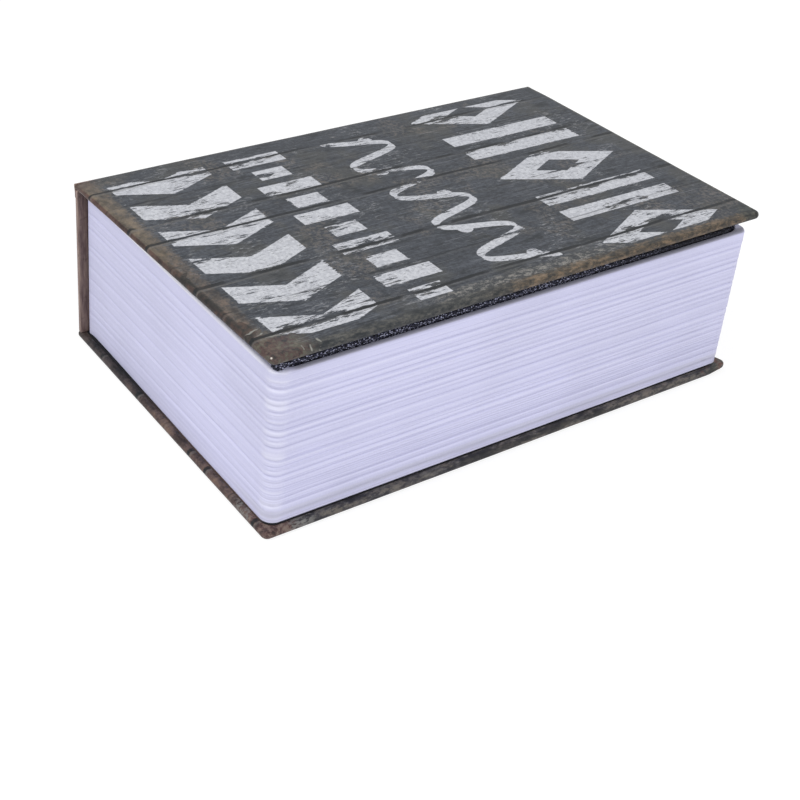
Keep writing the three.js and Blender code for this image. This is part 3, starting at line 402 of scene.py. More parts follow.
    tail_corner = (u + HALF_WIDTH) ** 2.0 + (v + HALF_LENGTH) ** 2.0
    tail_corner = add("Math", tail_corner, operation="SQRT")
    shade = add("ValToRGB", worn, stops=((0.4, "#3A302D"), (0.6, "#5C4F49")))
    share = add("MapRange", tail_corner + ragged, 3.0, 9.0, 0.75, 0.0)
    colour = add("Mix", share, colour, shade)
    colour = add("Mix", lips * add("MapRange", v, -86.0, -60.0, 0.4, 0.2), colour, "#6C6A66")
    colour = add("Mix", gaps * (side | 0.9), colour, "#15181B")
    if front:
        # a painted highlight along the lower edge of the board's tail side, towards the spine
        up = coat.z - COVER_HINGE_Z - (u + HALF_WIDTH) * math.tan(COVER_LIFT_ANGLE)
        edge_highlight = add("MapRange", up, 0.5, 0.8, 1.0, 0.0) * add("MapRange", v, -89.0, -88.6, 1.0, 0.0)
        edge_highlight = edge_highlight * add("MapRange", u, -26.0, -14.0, 1.0, 0.0)
        colour = add("Mix", edge_highlight * add("MapRange", small, 0.4, 0.55, 0.5, 1.0), colour, "#D8C9C8")
        spot = (54.9, -89.5, COVER_HINGE_Z + (54.9 + HALF_WIDTH) * math.tan(COVER_LIFT_ANGLE) + 2.2)
        speck = add("VectorMath", coat.point - spot, operation="LENGTH")
        colour = add("Mix", add("MapRange", speck, 0.2, 0.45, 1.0, 0.0), colour, "#CFC9BF")
    height = add("TexNoise", coat.point, 2.2, 3.0, 0.6) * 0.5 - gaps * 0.9
    return coat.done(colour, add("MapRange", grain, 0.3, 0.7, 0.44, 0.58), add("Bump", 0.3, 0.14 * MM, Height=height))


def edge_printed():
    """The same printed paper on the spine: rubbed to a dark red-brown at its ends and inner side, planks outside."""
    coat = Coat("printed_paper_spine", 0.52, 0.3)
    stain = add("TexNoise", coat.point * (1.8, 1.0, 0.1), 1.0, 5.0, 0.7)
    colour = add("ValToRGB", stain, stops=((0.38, "#645150"), (0.5, "#89746D"), (0.62, "#A08B80")))
    dark = add("MapRange", add("TexNoise", coat.point, 0.4, 5.0, 0.7), 0.54, 0.66)
    colour = add("Mix", dark * 0.5, colour, "#463836")
    inner = add("MapRange", coat.x, -56.0, -55.4)
    colour = add("Mix", inner * 0.4, colour, "#40332F")
    outside = add("MapRange", coat.x, -57.0, -56.8, 1.0, 0.0)
    planks = add("TexNoise", coat.point * (1.5, 0.16, 1.5), 1.0, 5.0, 0.7)
    planks = add("ValToRGB", planks, stops=((0.36, "#3A3E42"), (0.62, "#5A5E62")))
    end = add("MapRange", HALF_LENGTH - abs(coat.y), 3.0, 9.0)
    worn = add("TexNoise", (coat.point + (31.0, 7.0, 0.0)) * (1.2, 0.3, 1.2), 1.0, 5.0, 0.75)
    worn = add("MapRange", worn, 0.54, 0.64, 0.0, 0.7)
    planks = add("Mix", worn, planks, "#7E8083")
    gap = abs(coat.z - 17.5) & abs(coat.z - 38.0)
    planks = add("Mix", add("MapRange", gap, 0.25, 0.55, 0.85, 0.0), planks, "#15181B")
    colour = add("Mix", outside * (end * 0.9), colour, planks)
    return coat.done(colour, None, add("Bump", 0.25, 0.12 * MM, Height=add("TexNoise", coat.point, 2.2, 3.0, 0.6)))


def page_plastic():
    """White ABS, moulded in a tool whose drawn lines stand for cut pages: satin, a little blue, with long thin lines
    that are stronger at the fore-edge. The lines are 0.6 and 0.3 mm wide, the finest hatching has a pitch of 0.8 mm,
    and the tool's stipple of 0.1 mm is drawn at 0.7 mm so that it shows."""
    coat = Coat("moulded_white_abs", 0.5, 0.3)
    x, y, z = coat.x, coat.y, coat.z
    stipple = add("TexNoise", coat.point, 1.5, 3.0, 0.65)
    tone = add("TexNoise", coat.point, 0.03, 2.0, 0.5) + add("MapRange", x, -60.0, 50.0, -0.12, 0.08)
    colour = add("ValToRGB", tone, stops=((0.3, "#C4C4DD"), (0.7, "#CECEE9")))
    lines = add("TexNoise", coat.point * (0.007, 0.007, 1.7), 1.0, 3.0, 0.6)
    thin = add("TexNoise", (coat.point + (4.0, 9.0, 30.0)) * (0.012, 0.012, 3.2), 1.0, 2.0, 0.5)
    strength = add("MapRange", x, 48.0, 54.0, 0.18, 0.32)
    colour = add("Mix", add("MapRange", lines, 0.5, 0.62) * strength, colour, "#ADADCB")
    colour = add("Mix", add("MapRange", thin, 0.54, 0.62) * (strength * 0.7), colour, "#E2E2F4")
    colour = add("Mix", add("MapRange", stipple, 0.52, 0.66) * 0.25, colour, "#D9D9EE")

    # painted shade at the foot of each groove and a painted highlight on the rib below it
    face = add("MapRange", x, 49.0, 54.0)
    dark, light = 0.0, 0.0
    for place, at_fore, at_ends, width in RIBS:
        force = face * (at_fore - at_ends * 0.5) + at_ends * 0.5
        close, clear = 0.3 * width, 1.3 * width
        dark = dark | (add("MapRange", abs(z - (place + 0.1)), close, clear, 1.0, 0.0) * force)
        light = light | (add("MapRange", abs(z - (place - 2.1 * width)), close, clear, 1.0, 0.0) * force)
    uneven = add("TexNoise", coat.point * (0.03, 0.03, 0.5), 1.0, 2.0, 0.5)
    colour = add("Mix", dark * add("MapRange", uneven, 0.3, 0.7, 0.6, 1.2) * 0.34, colour, "#9A9ABC")
    colour = add("Mix", light * 0.28, colour, "#E4E4F5")
    fine = add("Math", z + add("TexNoise", coat.point, 0.04, 2.0, 0.55) * 0.8, 0.4, operation="PINGPONG")
    hatched = add("MapRange", z, 6.8, 8.5) * add("MapRange", z, 13.5, 17.0, 1.0, 0.3)
    hatched = hatched * add("MapRange", z, 44.0, 49.0, 1.0, 0.0) * (face * 0.75 + 0.25)
    colour = add("Mix", hatched * add("MapRange", fine, 0.06, 0.3, 0.22, 0.0), colour, "#9E9EBE")

    # painted glints down the tail corner, the pale foot, a painted highlight along the top of the tail side, and
    # painted shade on the rim's top along the fore-edge
    around = add("Math", (x - 54.0) ** 2.0 + (y + 86.8) ** 2.0, operation="SQRT")
    glint = add("TexNoise", (coat.point + (0.0, 0.0, 3.0)) * (0.0, 0.0, 0.3), 1.0, 2.0, 0.5)
    glint = add("MapRange", glint, 0.46, 0.6, 0.05, 0.4) * add("MapRange", around, 2.0, 5.0, 1.0, 0.0)
    colour = add("Mix", glint, colour, "#E6E6F0")
    foot = add("MapRange", z, 3.9, 4.7) * add("MapRange", z, 6.3, 7.2, 1.0, 0.0)
    colour = add("Mix", foot * add("MapRange", x, 30.0, 52.0, 0.1, 0.6), colour, "#C3C3D3")
    rim_highlight = add("MapRange", z, 51.5, 52.2) * add("MapRange", y, -86.9, -86.5, 1.0, 0.0)
    rim_highlight = rim_highlight * add("MapRange", x, 45.0, 51.0, 1.0, 0.3) * add("MapRange", x, -40.0, 30.0, 0.95, 0.45)
    colour = add("Mix", rim_highlight, colour, "#FFFFFF")
    shaded = add("MapRange", z, 51.9, 52.45) * add("MapRange", x, 51.5, 53.0) * add("MapRange", y, -83.5, -80.0)
    colour = add("Mix", shaded * 0.8, colour, "#85848F")
    height = stipple * 0.6 + lines * add("MapRange", x, 48.0, 54.0, 0.2, 0.5)
    return coat.done(colour, None, add("Bump", 0.45, 0.2 * MM, Height=height))


def black_lining():
    """PVC leatherette, embossed with pebbles of 0.8 mm: dull black, with paler veins and painted glints on its grain,
    both fading towards the head as painted shade."""
    coat = Coat("embossed_leatherette", 0.7, 0.08)
    pebbles = add("TexVoronoi", coat.point, 1.25, feature="DISTANCE_TO_EDGE")
    glints = add("TexVoronoi", (coat.point + (3.0, 8.0, 1.0)) * (1.0, 0.7, 1.4), 1.9, feature="F1")
    # painted shade: glints and veins fade out towards the head, under the cover
    worn = add("MapRange", coat.y, 10.0, 60.0, 1.0, 0.15)
    spots = add("MapRange", glints, 0.28, 0.38, 1.0, 0.0)
    spots = spots * add("MapRange", add("TexNoise", coat.point, 0.9, 2.0, 0.55), 0.3, 0.44) * worn
    veins = add("MapRange", pebbles, 0.03, 0.1, 1.0, 0.0) * (worn * 0.4)
    colour = add("Mix", veins, "#111116", "#50526A")
    colour = add("Mix", spots * 0.8, colour, "#A4A6BC")
    return coat.done(colour, None, add("Bump", 0.6, 0.3 * MM, Height=pebbles))


def black_paper():
    """Uncoated black endpaper: matt, a little mottled, with dust along the tail. Its fibres of 0.1 mm are drawn at
    0.3 mm so that they show."""
    coat = Coat("black_endpaper", 0.8, 0.2)
    colour = add("TexNoise", coat.point, 1.2, 4.0, 0.55)
    colour = add("ValToRGB", colour, stops=((0.35, "#17171A"), (0.65, "#222226")))
    dusty = add("MapRange", coat.x, -30.0, 20.0) * add("MapRange", coat.x, 50.0, 54.0, 1.0, 0.0)
    dusty = dusty * add("MapRange", coat.y, -87.6, -87.3, 1.0, 0.0)
    colour = add("Mix", dusty * 0.8, colour, "#5E4E4A")
    return coat.done(colour, None, add("Bump", 0.3, 0.1 * MM, Height=add("TexNoise", coat.point, 3.0, 3.0, 0.55)))


def greyboard():
    """Raw greyboard of pressed waste paper: dull grey-brown, with layers and fibres of 0.2 mm on its cut edge."""
    coat = Coat("greyboard", 0.95, 0.15)
    colour = add("TexNoise", coat.point * (1.0, 1.0, 6.0), 1.5, 4.0, 0.6)
    colour = add("ValToRGB", colour, stops=((0.35, "#8B8072"), (0.65, "#A69A88")))
    return coat.done(colour, None, add("Bump", 0.4, 0.1 * MM, Height=add("TexNoise", coat.point, 4.0, 3.0, 0.55)))


def wrinkle_paint():
    """Wrinkle powder coat on sheet steel: blue-grey, half gloss, with a skin that shrank into wrinkles of 1 mm."""
    coat = Coat("wrinkle_powder_coat", 0.34, 0.55, 0.25)
    wrinkles = add("TexVoronoi", coat.point, 0.95, feature="SMOOTH_F1")
    fine = add("TexNoise", coat.point, 1.8, 3.0, 0.6)
    tone = wrinkles * 0.7 + fine * 0.3
    colour = add("ValToRGB", tone, stops=((0.2, "#37414F"), (0.6, "#4A5769"), (0.9, "#5A697D")))
    bump = add("Bump", 0.8, 0.45 * MM, Height=wrinkles + fine * 0.35)
    return coat.done(colour, add("MapRange", fine, 0.3, 0.7, 0.28, 0.42), bump)


def plated(name, dark, light, roughness):
    """Plated steel: zinc with a dull cloudy grey, or nickel that is nearly a mirror. Both keep fine marks of the wire
    or sheet under them, drawn at 0.1 mm."""
    coat = Coat(name, metallic=1.0)
    clouds = add("TexNoise", coat.point, 0.8, 4.0, 0.6)
    scratch = add("TexNoise", coat.point * (0.5, 8.0, 0.5), 1.0, 3.0, 0.6)
    colour = add("ValToRGB", clouds, stops=((0.3, dark), (0.7, light)))
    rough = add("MapRange", scratch, 0.3, 0.7, roughness * 0.8, roughness * 1.25)
    return coat.done(colour, rough, add("Bump", 0.1, 0.03 * MM, Height=scratch))


def streaked_chrome():
    """Polished chrome plate on die-cast zinc: a mirror, with painted reflections: dark and light streaks round its
    conical skirt and a soft fall of light over its face. A small plate on the plug's face is brushed. The scratches are
    drawn at 0.1 mm."""
    coat = Coat("polished_chrome_plate", 0.12, 0.5, 1.0)
    x, y, up = coat.x - LOCK[0], coat.y - LOCK[1], coat.z - LOCK[2]
    radius = add("Math", x * x + y * y, operation="SQRT")
    turn = add("Math", y, x, operation="ARCTAN2")
    round_it = add("CombineXYZ", add("Math", turn, operation="COSINE"), add("Math", turn, operation="SINE"))
    # painted reflections round the skirt, and a painted fall of light over the face
    reflection_streaks = (
        (0.36, "#15171B"), (0.44, "#5B5F66"), (0.5, "#F2F2F4"), (0.56, "#8F9298"), (0.6, "#2A2C31"), (0.68, "#E4E5E8"),
    )
    skirt = add("ValToRGB", add("TexNoise", round_it, 2.3, 3.0, 0.6), stops=reflection_streaks)
    light_fall = x * 0.045 + y * -0.035 + 0.5
    face = add("ValToRGB", light_fall, stops=((0.2, "#3C4048"), (0.5, "#8D9199"), (0.62, "#DFE0E3"), (0.8, "#A9ACB2")))
    on_skirt = add("MapRange", radius, 8.35, 8.6) * add("MapRange", up, -0.2, 0.0)
    colour = add("Mix", on_skirt, face, skirt)
    colour = add("Mix", add("MapRange", up, -0.6, -0.2, 1.0, 0.0), colour, "#A8AAAD")
    plate = add("MapRange", abs(x), 3.1, 3.3, 1.0, 0.0) * add("MapRange", abs(y), 4.9, 5.1, 1.0, 0.0)
    plate = plate * add("MapRange", radius + up, 9.0, 9.3, 1.0, 0.0) * add("MapRange", up, 3.2, 3.3)
    brushed = add("TexNoise", coat.point * (9.0, 0.5, 0.5), 1.0, 3.0, 0.6)
    colour = add("Mix", plate, colour, add("ValToRGB", brushed, stops=((0.35, "#BDBDBF"), (0.65, "#E0E0E2"))))
    scratch = add("TexNoise", coat.point * (0.5, 8.0, 0.5), 1.0, 3.0, 0.6)
    rough = add("MapRange", scratch, 0.3, 0.7, 0.07, 0.14)
    return coat.done(colour, rough, add("Bump", 0.06, 0.03 * MM, Height=scratch))


def key_place(coat):
    """Along, across and up from a key's face. The two keys lie alike on either side of the ring."""
    along, up = abs(coat.y) - RING_RADIUS, coat.z - RING_AT[2]
    cos, sin = math.cos(KEY_SLOPE), math.sin(KEY_SLOPE)
    return along * cos - up * sin, coat.x - RING_AT[0], along * sin + up * cos


def black_plastic():
    """Black ABS, moulded: satin bows with slanting ribs of 1 mm round a plain panel, where the light catches the
    ribs' tops."""
    coat = Coat("moulded_black_abs", 0.4, 0.5)
    along, across, up = key_place(coat)
    slant = math.sqrt(0.5)
    waves = add("Math", along * slant + across * slant, 0.5, operation="PINGPONG")
    ribbed = add("MapRange", along, 3.0, 3.3) * add("MapRange", along, 17.6, 17.9, 1.0, 0.0)
    ribbed = ribbed * add("MapRange", abs(across), 9.8, 10.1, 1.0, 0.0) * add("MapRange", abs(up), 1.7, 1.8)
    panel = add("MapRange", abs(along - 10.4), 2.7, 2.9, 1.0, 0.0)
    ribbed = ribbed * (1.0 - panel * add("MapRange", abs(across), 4.9, 5.1, 1.0, 0.0))
    worn = add("TexNoise", coat.point, 1.5, 3.0, 0.55)
    colour = add("ValToRGB", worn, stops=((0.3, "#101013"), (0.7, "#1A1A1F")))
    colour = add("Mix", ribbed * add("MapRange", waves, 0.3, 0.45), colour, "#34363F")
    height = waves * ribbed * 2.0 + add("TexNoise", coat.point, 5.0, 2.0, 0.55) * 0.1
    rough = add("MapRange", worn, 0.3, 0.7, 0.3, 0.42)
    return coat.done(colour, rough, add("Bump", 0.8, 0.35 * MM, Height=height))


def key_nickel():
    """Nickel-plated brass blades, drawn and then worn in the pocket: warm grey, darker in their grooves, with fine
    scratches along them that are drawn at 0.2 mm so that they show."""
    coat = Coat("worn_nickel_plate", 0.32, 0.5, 1.0)
    along, across, up = key_place(coat)
    drawn = add("TexNoise", add("CombineXYZ", along * 0.25, across * 5.0, up * 5.0), 1.0, 4.0, 0.65)
    tone = drawn * 0.6 + add("TexNoise", coat.point, 0.6, 3.0, 0.55) * 0.4
    colour = add("ValToRGB", tone, stops=((0.36, "#564F43"), (0.5, "#7D7566"), (0.62, "#A49C8C")))
    colour = add("Mix", add("MapRange", abs(up), 0.6, 0.95, 1.0, 0.0) * 0.6, colour, "#3C362C")
    return coat.done(colour, add("MapRange", drawn, 0.3, 0.7, 0.24, 0.4), add("Bump", 0.25, 0.05 * MM, Height=drawn))


looks = {
    "front_print": printed(
        "printed_paper_front",
        front=True,
        planks=(
            (-47.2, 0.34, 1.0), (-36.0, 0.16, 0.45), (-22.3, 0.4, 1.0), (-11.2, 0.4, 1.0),
            (3.0, 0.16, 0.4), (16.5, 0.5, 1.0), (31.0, 0.2, 0.55), (45.5, 0.42, 1.0),
        ),
        turn=(-20.0, 6.0),
        reach=4.6,
        tail=(
            ((0.38, "#4B453E"), (0.5, "#685F55"), (0.62, "#7E7161")),
            ((0.38, "#34302F"), (0.5, "#57504A"), (0.62, "#75665B")),
        ),
        rim=(
            ((0.38, "#4C4339"), (0.5, "#665C4D"), (0.62, "#7C6E5A")),
            ((0.38, "#1E201E"), (0.5, "#302E2C"), (0.62, "#4D3F38")),
        ),
        edge=(
            ((0.36, "#2C1F1C"), (0.48, "#48352F"), (0.6, "#5C463E")),
            ((0.36, "#191A1B"), (0.5, "#2F2927"), (0.62, "#4B3A34")),
        ),
        fore=(
            ((0.4, "#25282A"), (0.5, "#393B3B"), (0.62, "#5D5B56")),
            ((0.4, "#2F2E2B"), (0.5, "#544A3E"), (0.62, "#806D58")),
        ),
    ),
    "back_print": printed(
        "printed_paper_back",
        front=False,
        planks=(
            (-41.0, 0.25, 0.8), (-17.3, 0.5, 1.0), (0.0, 0.2, 0.4), (15.0, 0.45, 1.0),
            (24.5, 0.4, 1.0), (38.0, 0.2, 0.5), (51.0, 0.45, 1.0),
        ),
        turn=(-40.0, 10.0),
        reach=7.0,
        tail=(
            ((0.38, "#161516"), (0.5, "#242122"), (0.62, "#3A3434")),
            ((0.38, "#2E2727"), (0.5, "#4B4041"), (0.62, "#65544D")),
        ),
        rim=(
            ((0.38, "#161516"), (0.5, "#262324"), (0.62, "#3E3737")),
            ((0.38, "#352B2A"), (0.5, "#574845"), (0.62, "#725F55")),
        ),
        edge=(
            ((0.36, "#1C191B"), (0.48, "#2F2A2C"), (0.6, "#463D3D")),
            ((0.36, "#352A28"), (0.5, "#594844"), (0.62, "#735E51")),
        ),
        fore=(
            ((0.4, "#232227"), (0.5, "#39373C"), (0.62, "#65625F")),
            ((0.4, "#302E30"), (0.5, "#4C4948"), (0.62, "#746C64")),
        ),
    ),
    "spine_print": edge_printed(),
    "page": page_plastic(),
    "lining": black_lining(),
    "black_paper": black_paper(),
    "greyboard": greyboard(),
    "paint": wrinkle_paint(),
    "zinc": plated("zinc_plated_steel", "#8E9293", "#B4B7B6", 0.32),
    "chrome": streaked_chrome(),
    "ring": plated("nickel_plated_wire", "#B4B6B8", "#CDCFD2", 0.16),
    "nickel": key_nickel(),
    "black_plastic": black_plastic(),
}

NODES_OF_LOOK = {
    "greyboard": ("front_board", "spine_board", "back_board"),
    "front_print": ("front_wrap",),
    "back_print": ("back_wrap",),
    "spine_print": ("spine_wrap",),
    "lining": ("front_lining",),
    "black_paper": ("back_liner",),
    "page": ("page_shell",),
    "paint": ("tray", "lid"),
    "zinc": (
        "hinge_pin", "tray_rivet_1", "tray_rivet_2", "tray_rivet_3", "tray_rivet_4",
        "lock_keeper", "lock_washer", "lock_nut", "lock_cam", "cam_screw",
    ),
    "chrome": ("lock_body", "lock_plug"),
    "black_plastic": ("key_1_bow", "key_2_bow"),
    "nickel": ("key_1_blade", "key_2_blade"),
    "ring": ("split_ring",),
}
for look, names in NODES_OF_LOOK.items():
    for node_name in names:
        node = nodes[node_name]
        if not node.material_slots:
            node.data.materials.append(looks[look])
        for material_slot in node.material_slots:
            material_slot.material = looks[look]


# Pieces
def piece(name, rings, look, body, replaced=(), angle=30.0, closed_round=False):
    """Adds one closed mesh made of rings of points, each joined to the next. The first and last ring are filled, or
    joined to each other where it closes round. Faces that meet at less than the angle, in degrees, look smooth."""
    count = len(rings[0])
    points = [Vector(point) * MM for ring in rings for point in ring]
    starts = range(0, len(points), count)
    pairs = list(zip(starts, starts[1:]))
    if closed_round:
        faces, pairs = [], [*pairs, (starts[-1], 0)]
    else:
        faces = [tuple(range(count)), tuple(reversed(range(starts[-1], len(points))))]
    for a, b in pairs:
        for k in range(count):
            n = (k + 1) % count
            faces.append((a + k, a + n, b + n, b + k))
    mesh = bpy.data.meshes.new(name)
    mesh.from_pydata(points, [], faces)
    obj = bpy.data.objects.new(name, mesh)
    bpy.context.scene.collection.objects.link(obj)
    bm = bmesh.new()
    bm.from_mesh(mesh)
    bmesh.ops.recalc_face_normals(bm, faces=bm.faces)
    bm.to_mesh(mesh)
    bm.free()
    mesh.materials.append(looks[look])
    for polygon in mesh.polygons:
        polygon.use_smooth = True
    mesh.set_sharp_from_angle(angle=math.radians(angle))
    if body:
        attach(obj, body)
    if replaced:
        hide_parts(*replaced)
    return obj


def outline(rect, radii, straights, corners):
    """Points and outward normals round a rectangle with rounded corners, in the same number whatever its size."""
    x0, x1, y0, y1 = rect
    a, b, c, d = radii
    found = []
    arcs = [
        (x1 - b, y0 + b, b, -90, corners[1]),
        (x1 - c, y1 - c, c, 0, corners[2]),
        (x0 + d, y1 - d, d, 90, corners[3]),
        (x0 + a, y0 + a, a, 180, corners[0]),
    ]
    ends = [
        ((x0 + a, y0), (x1 - b, y0), (0, -1)),
        ((x1, y0 + b), (x1, y1 - c), (1, 0)),
        ((x1 - c, y1), (x0 + d, y1), (0, 1)),
        ((x0, y1 - d), (x0, y0 + a), (-1, 0)),
    ]
    for (start, end, normal), count, (cx, cy, radius, turn, steps) in zip(ends, straights, arcs):
        for i in range(count):
            t = (i + 0.5) / count
            x = start[0] + (end[0] - start[0]) * t
            y = start[1] + (end[1] - start[1]) * t
            found.append(((x, y), normal))
        for i in range(steps + 1):
            angle = math.radians(turn + 90 * i / steps)
            normal = (math.cos(angle), math.sin(angle))
            found.append(((cx + radius * normal[0], cy + radius * normal[1]), normal))
    return found


def smooth_noise(x, y, z=0.0):
    return noise.noise(Vector((x, y, z)))


def fade(value, low, high):
    """0 up to low, 1 from high on, and a smooth rise between them."""
    t = min(max((value - low) / (high - low), 0.0), 1.0)
    return t * t * (3 - 2 * t)


def leaf(rect, thick, edge, corners, insets, place):
    """The nested rings of a slab with rounded edges, from the middle of its top, round its edge, to its foot.
    place turns the slab's own coordinates (across, along, up) into the book's."""
    straights = (60, 92, 60, 92)
    turns = (5, 5, 5, 5)
    levels = [(inset, thick) for inset in reversed(insets)]
    for first, height in ((0, thick - edge), (90, edge)):
        for degrees in range(first, first + 91, 15):
            a = math.radians(degrees)
            levels.append((edge - edge * math.sin(a), height + edge * math.cos(a)))
    levels += [(inset, 0.0) for inset in insets]
    rings = []
    for inset, up in levels:
        box = (rect[0] + inset, rect[1] - inset, rect[2] + inset, rect[3] - inset)
        round_it = outline(box, [max(c - inset, 0.02) for c in corners], straights, turns)
        rings.append([place(x, y, up) for (x, y), _ in round_it])
    return rings


LEAF_INSETS = (1.8, 3.0, 5.0, 8.0, 12.0, 18.0, 26.0)


def front_place(across, along, up):
    """A point of the closed front cover, which leans up towards its fore-edge."""
    cos, sin = math.cos(COVER_LIFT_ANGLE), math.sin(COVER_LIFT_ANGLE)
    return (-HALF_WIDTH + across * cos - up * sin, along, COVER_HINGE_Z + across * sin + up * cos)


def build_case():
    """Front and back covers and the spine: boards in one printed sheet, with worn, nearly round edges."""
    half = HALF_LENGTH

    def front(x, y, up):
        # pressed thin along the joint, most at the tail
        tail = 1.0 - fade(y + half, 0.0, 26.0)
        crush = (0.2 + 0.25 * tail) * (1.0 - fade(x, 1.0, 14.0))
        crush += 0.45 * (1.0 - fade(math.hypot(x, y + half), 0.5, 4.5))
        up -= crush * fade(up / CASE_THICK, 0.1, 1.0)
        up += 0.05 * smooth_noise(x * 0.08, y * 0.05, 3.0) * (up > 1.2)
        wave = 0.05 * smooth_noise(x * 0.12, y * 0.12, 11.0)
        return front_place(x + wave * fade(x, 60.0, 113.0), y + wave * fade(abs(y), 80.0, 90.0), up)

    rings = leaf((0.0, FRONT_WIDTH, -half, half), CASE_THICK, 1.15, CASE_CORNERS, LEAF_INSETS, front)
    piece("front_case", rings, "front_print", "front_cover", ["front_wrap"], 50.0)

    def core(x, y, up):
        return front(x, y, up + 0.4)

    rings = leaf((0.5, FRONT_WIDTH - 0.5, 0.5 - half, half - 0.5), 1.4, 0.5, CASE_CORNERS, LEAF_INSETS, core)
    piece("front_core", rings, "greyboard", "front_cover", ["front_board"], 50.0)

    def back(x, y, up):
        # the head corner at the fore-edge is bent up a little
        off = math.hypot(HALF_WIDTH - x, half - y)
        lift = 1.0 * (1.0 - fade(off, 0.5, 8.0))
        wave = 0.05 * smooth_noise(x * 0.12, y * 0.12, 31.0)
        return (x + wave * fade(x, 0.0, 57.0), y + wave * fade(abs(y), 80.0, 90.0), up + lift)

    rings = leaf((-HALF_WIDTH, HALF_WIDTH, -half, half), CASE_THICK, 1.05, CASE_CORNERS, LEAF_INSETS, back)
    piece("back_case", rings, "back_print", "base", ["back_wrap"], 50.0)

    def spine(z, y, up):
        return (SPINE_FACE + SPINE_THICK - up, y, z)

    rect = (CASE_THICK + 0.02, COVER_HINGE_Z - 0.02, -half + 0.1, half - 0.1)
    rings = leaf(rect, SPINE_THICK, 0.5, (0.3, 0.3, 0.3, 0.3), (1.2, 3.0, 8.0, 16.0), spine)
    piece("spine_case", rings, "spine_print", "base", ["spine_wrap"], 50.0)


def build_joint_fold():
    """The sheet between spine and front cover: it leaves the spine's outside and laps the board's edge."""
    line = [
        (-57.25, 50.6), (-57.29, 51.4), (-57.33, 52.1), (-57.38, 52.6), (-57.44, 52.95), (-57.5, 53.2),
        (-57.57, 53.45), (-57.64, 53.75), (-57.7, 54.1), (-57.74, 54.4), (-57.7, 54.75), (-57.6, 55.0),
    ]
    paper, drop = 0.3, 0.04
    loop = line + [(x + paper, z - drop) for x, z in reversed(line)]
    stations = 120
    half = HALF_LENGTH - 0.12
    rings = []
    for i in range(stations + 1):
        y = -half + 2 * half * i / stations
        swell = 0.03 * smooth_noise(y * 0.2, 5.0)
        rings.append([(x + swell, y, z) for x, z in loop])
    fold = piece("joint_fold", rings, "spine_print", None)
    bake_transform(fold)


def build_lining():
    """The grained pad under the front cover, and the flap of its cloth at the tail corner."""
    corners = (0.8, 0.8, 0.8, 0.8)
    # how far the pad's crest is kept under its solid, for the grain
    room = 0.3

    def grained(x, y, up):
        grain = 0.1 * smooth_noise(x * 1.3, y * 1.3, up * 1.3) + 0.05 * smooth_noise(x * 3.1, y * 3.1, 9.0)
        reach = 0.2 + 0.4 * fade(y, -85.0, 77.0)
        across = x + (grain + reach) * fade(x, 100.0, 113.0)
        along = y + grain * fade(abs(y + 4.0), 70.0, 80.0)
        return front_place(across, along, up + grain * 0.5 - GLUE - LINING + room)

    rings = leaf((5.6, 113.0, -85.2, 77.3), LINING - 0.38, 0.6, corners, (1.2, 2.4, 5.0, 10.0, 20.0), grained)
    piece("lining_pad", rings, "lining", "front_cover", ["front_lining"], 60.0)

    # the padding under it, which nests inside the pages' rim and is thickest at the fore-edge
    thick = 3.55

    def padded(x, y, up):
        grain = 0.06 * smooth_noise(x * 1.3, y * 1.3, up * 1.3) + 0.04 * smooth_noise(x * 3.1, y * 3.1, up * 3.1)
        return front_place(x + grain, y + grain, (up - thick) * (0.1 + 0.9 * x / 110.0) - 1.3)

    rings = leaf((9.0, 110.5, -85.3, 77.0), thick, 0.5, corners, (0.8, 1.2, 2.4, 5.0, 10.0, 20.0), padded)
    piece("lining_padding", rings, "lining", "front_cover", (), 60.0)

    def folded(x, y, up):
        grain = 0.07 * smooth_noise(x * 1.7, y * 1.7, up * 1.7)
        return front_place(x + grain, y + grain, up + grain - 3.66)

    rings = leaf((108.4, 111.6, -87.1, -84.0), 3.5, 0.6, corners, (0.9, 1.2), folded)
    piece("lining_flap", rings, "lining", "front_cover", (), 60.0)


def rib_levels(low, high):
    """Heights at which the page block is cut into rings: close together at the grooves, wider between them."""
    wanted = [low, high]
    wanted += [low + near for near in (0.08, 0.2, 0.33, 0.45)]
    wanted += [high - near for near in (0.1, 0.3, 0.6, 1.0)]
    for place, _, _, width in RIBS:
        wanted += [place + off * width for off in (-2.2, -1.5, -1.0, -0.55, -0.2, 0.1, 0.4, 0.75, 1.2, 1.9)]
    widest, step, least = 0.62, 0.5, 0.05
    levels = [low]
    for z in sorted(wanted):
        while z - levels[-1] > widest:
            levels.append(levels[-1] + step)
        if z - levels[-1] > least:
            levels.append(z)
    levels[-1] = high
    return levels


def groove_depths(outer, turns):
    """For each point of the pages' outline, the height, depth and half width of each groove there."""
    places = []
    for (_, (nx, ny)), turn in zip(outer, turns):
        cx, cy = 12.0 * math.cos(turn), 12.0 * math.sin(turn)
        # the tail and head sides have fewer and shallower grooves than the fore-edge
        share = fade(nx, 0.1, 0.7)
        column = []
        for i, (z, at_fore, at_ends, width) in enumerate(RIBS):
            deep = 0.44 * at_fore * share + 0.28 * at_ends * (1.0 - share)
            deep *= 0.9 + 0.7 * smooth_noise(cx * 0.5 + 9.0, cy * 0.5, 2.3 * i)
            if ny > 0.05:
                deep *= 0.6
            deep *= 1.0 - 0.8 * abs(nx * ny)
            column.append((z, max(deep, 0.0), width))
        places.append(column)
    return places


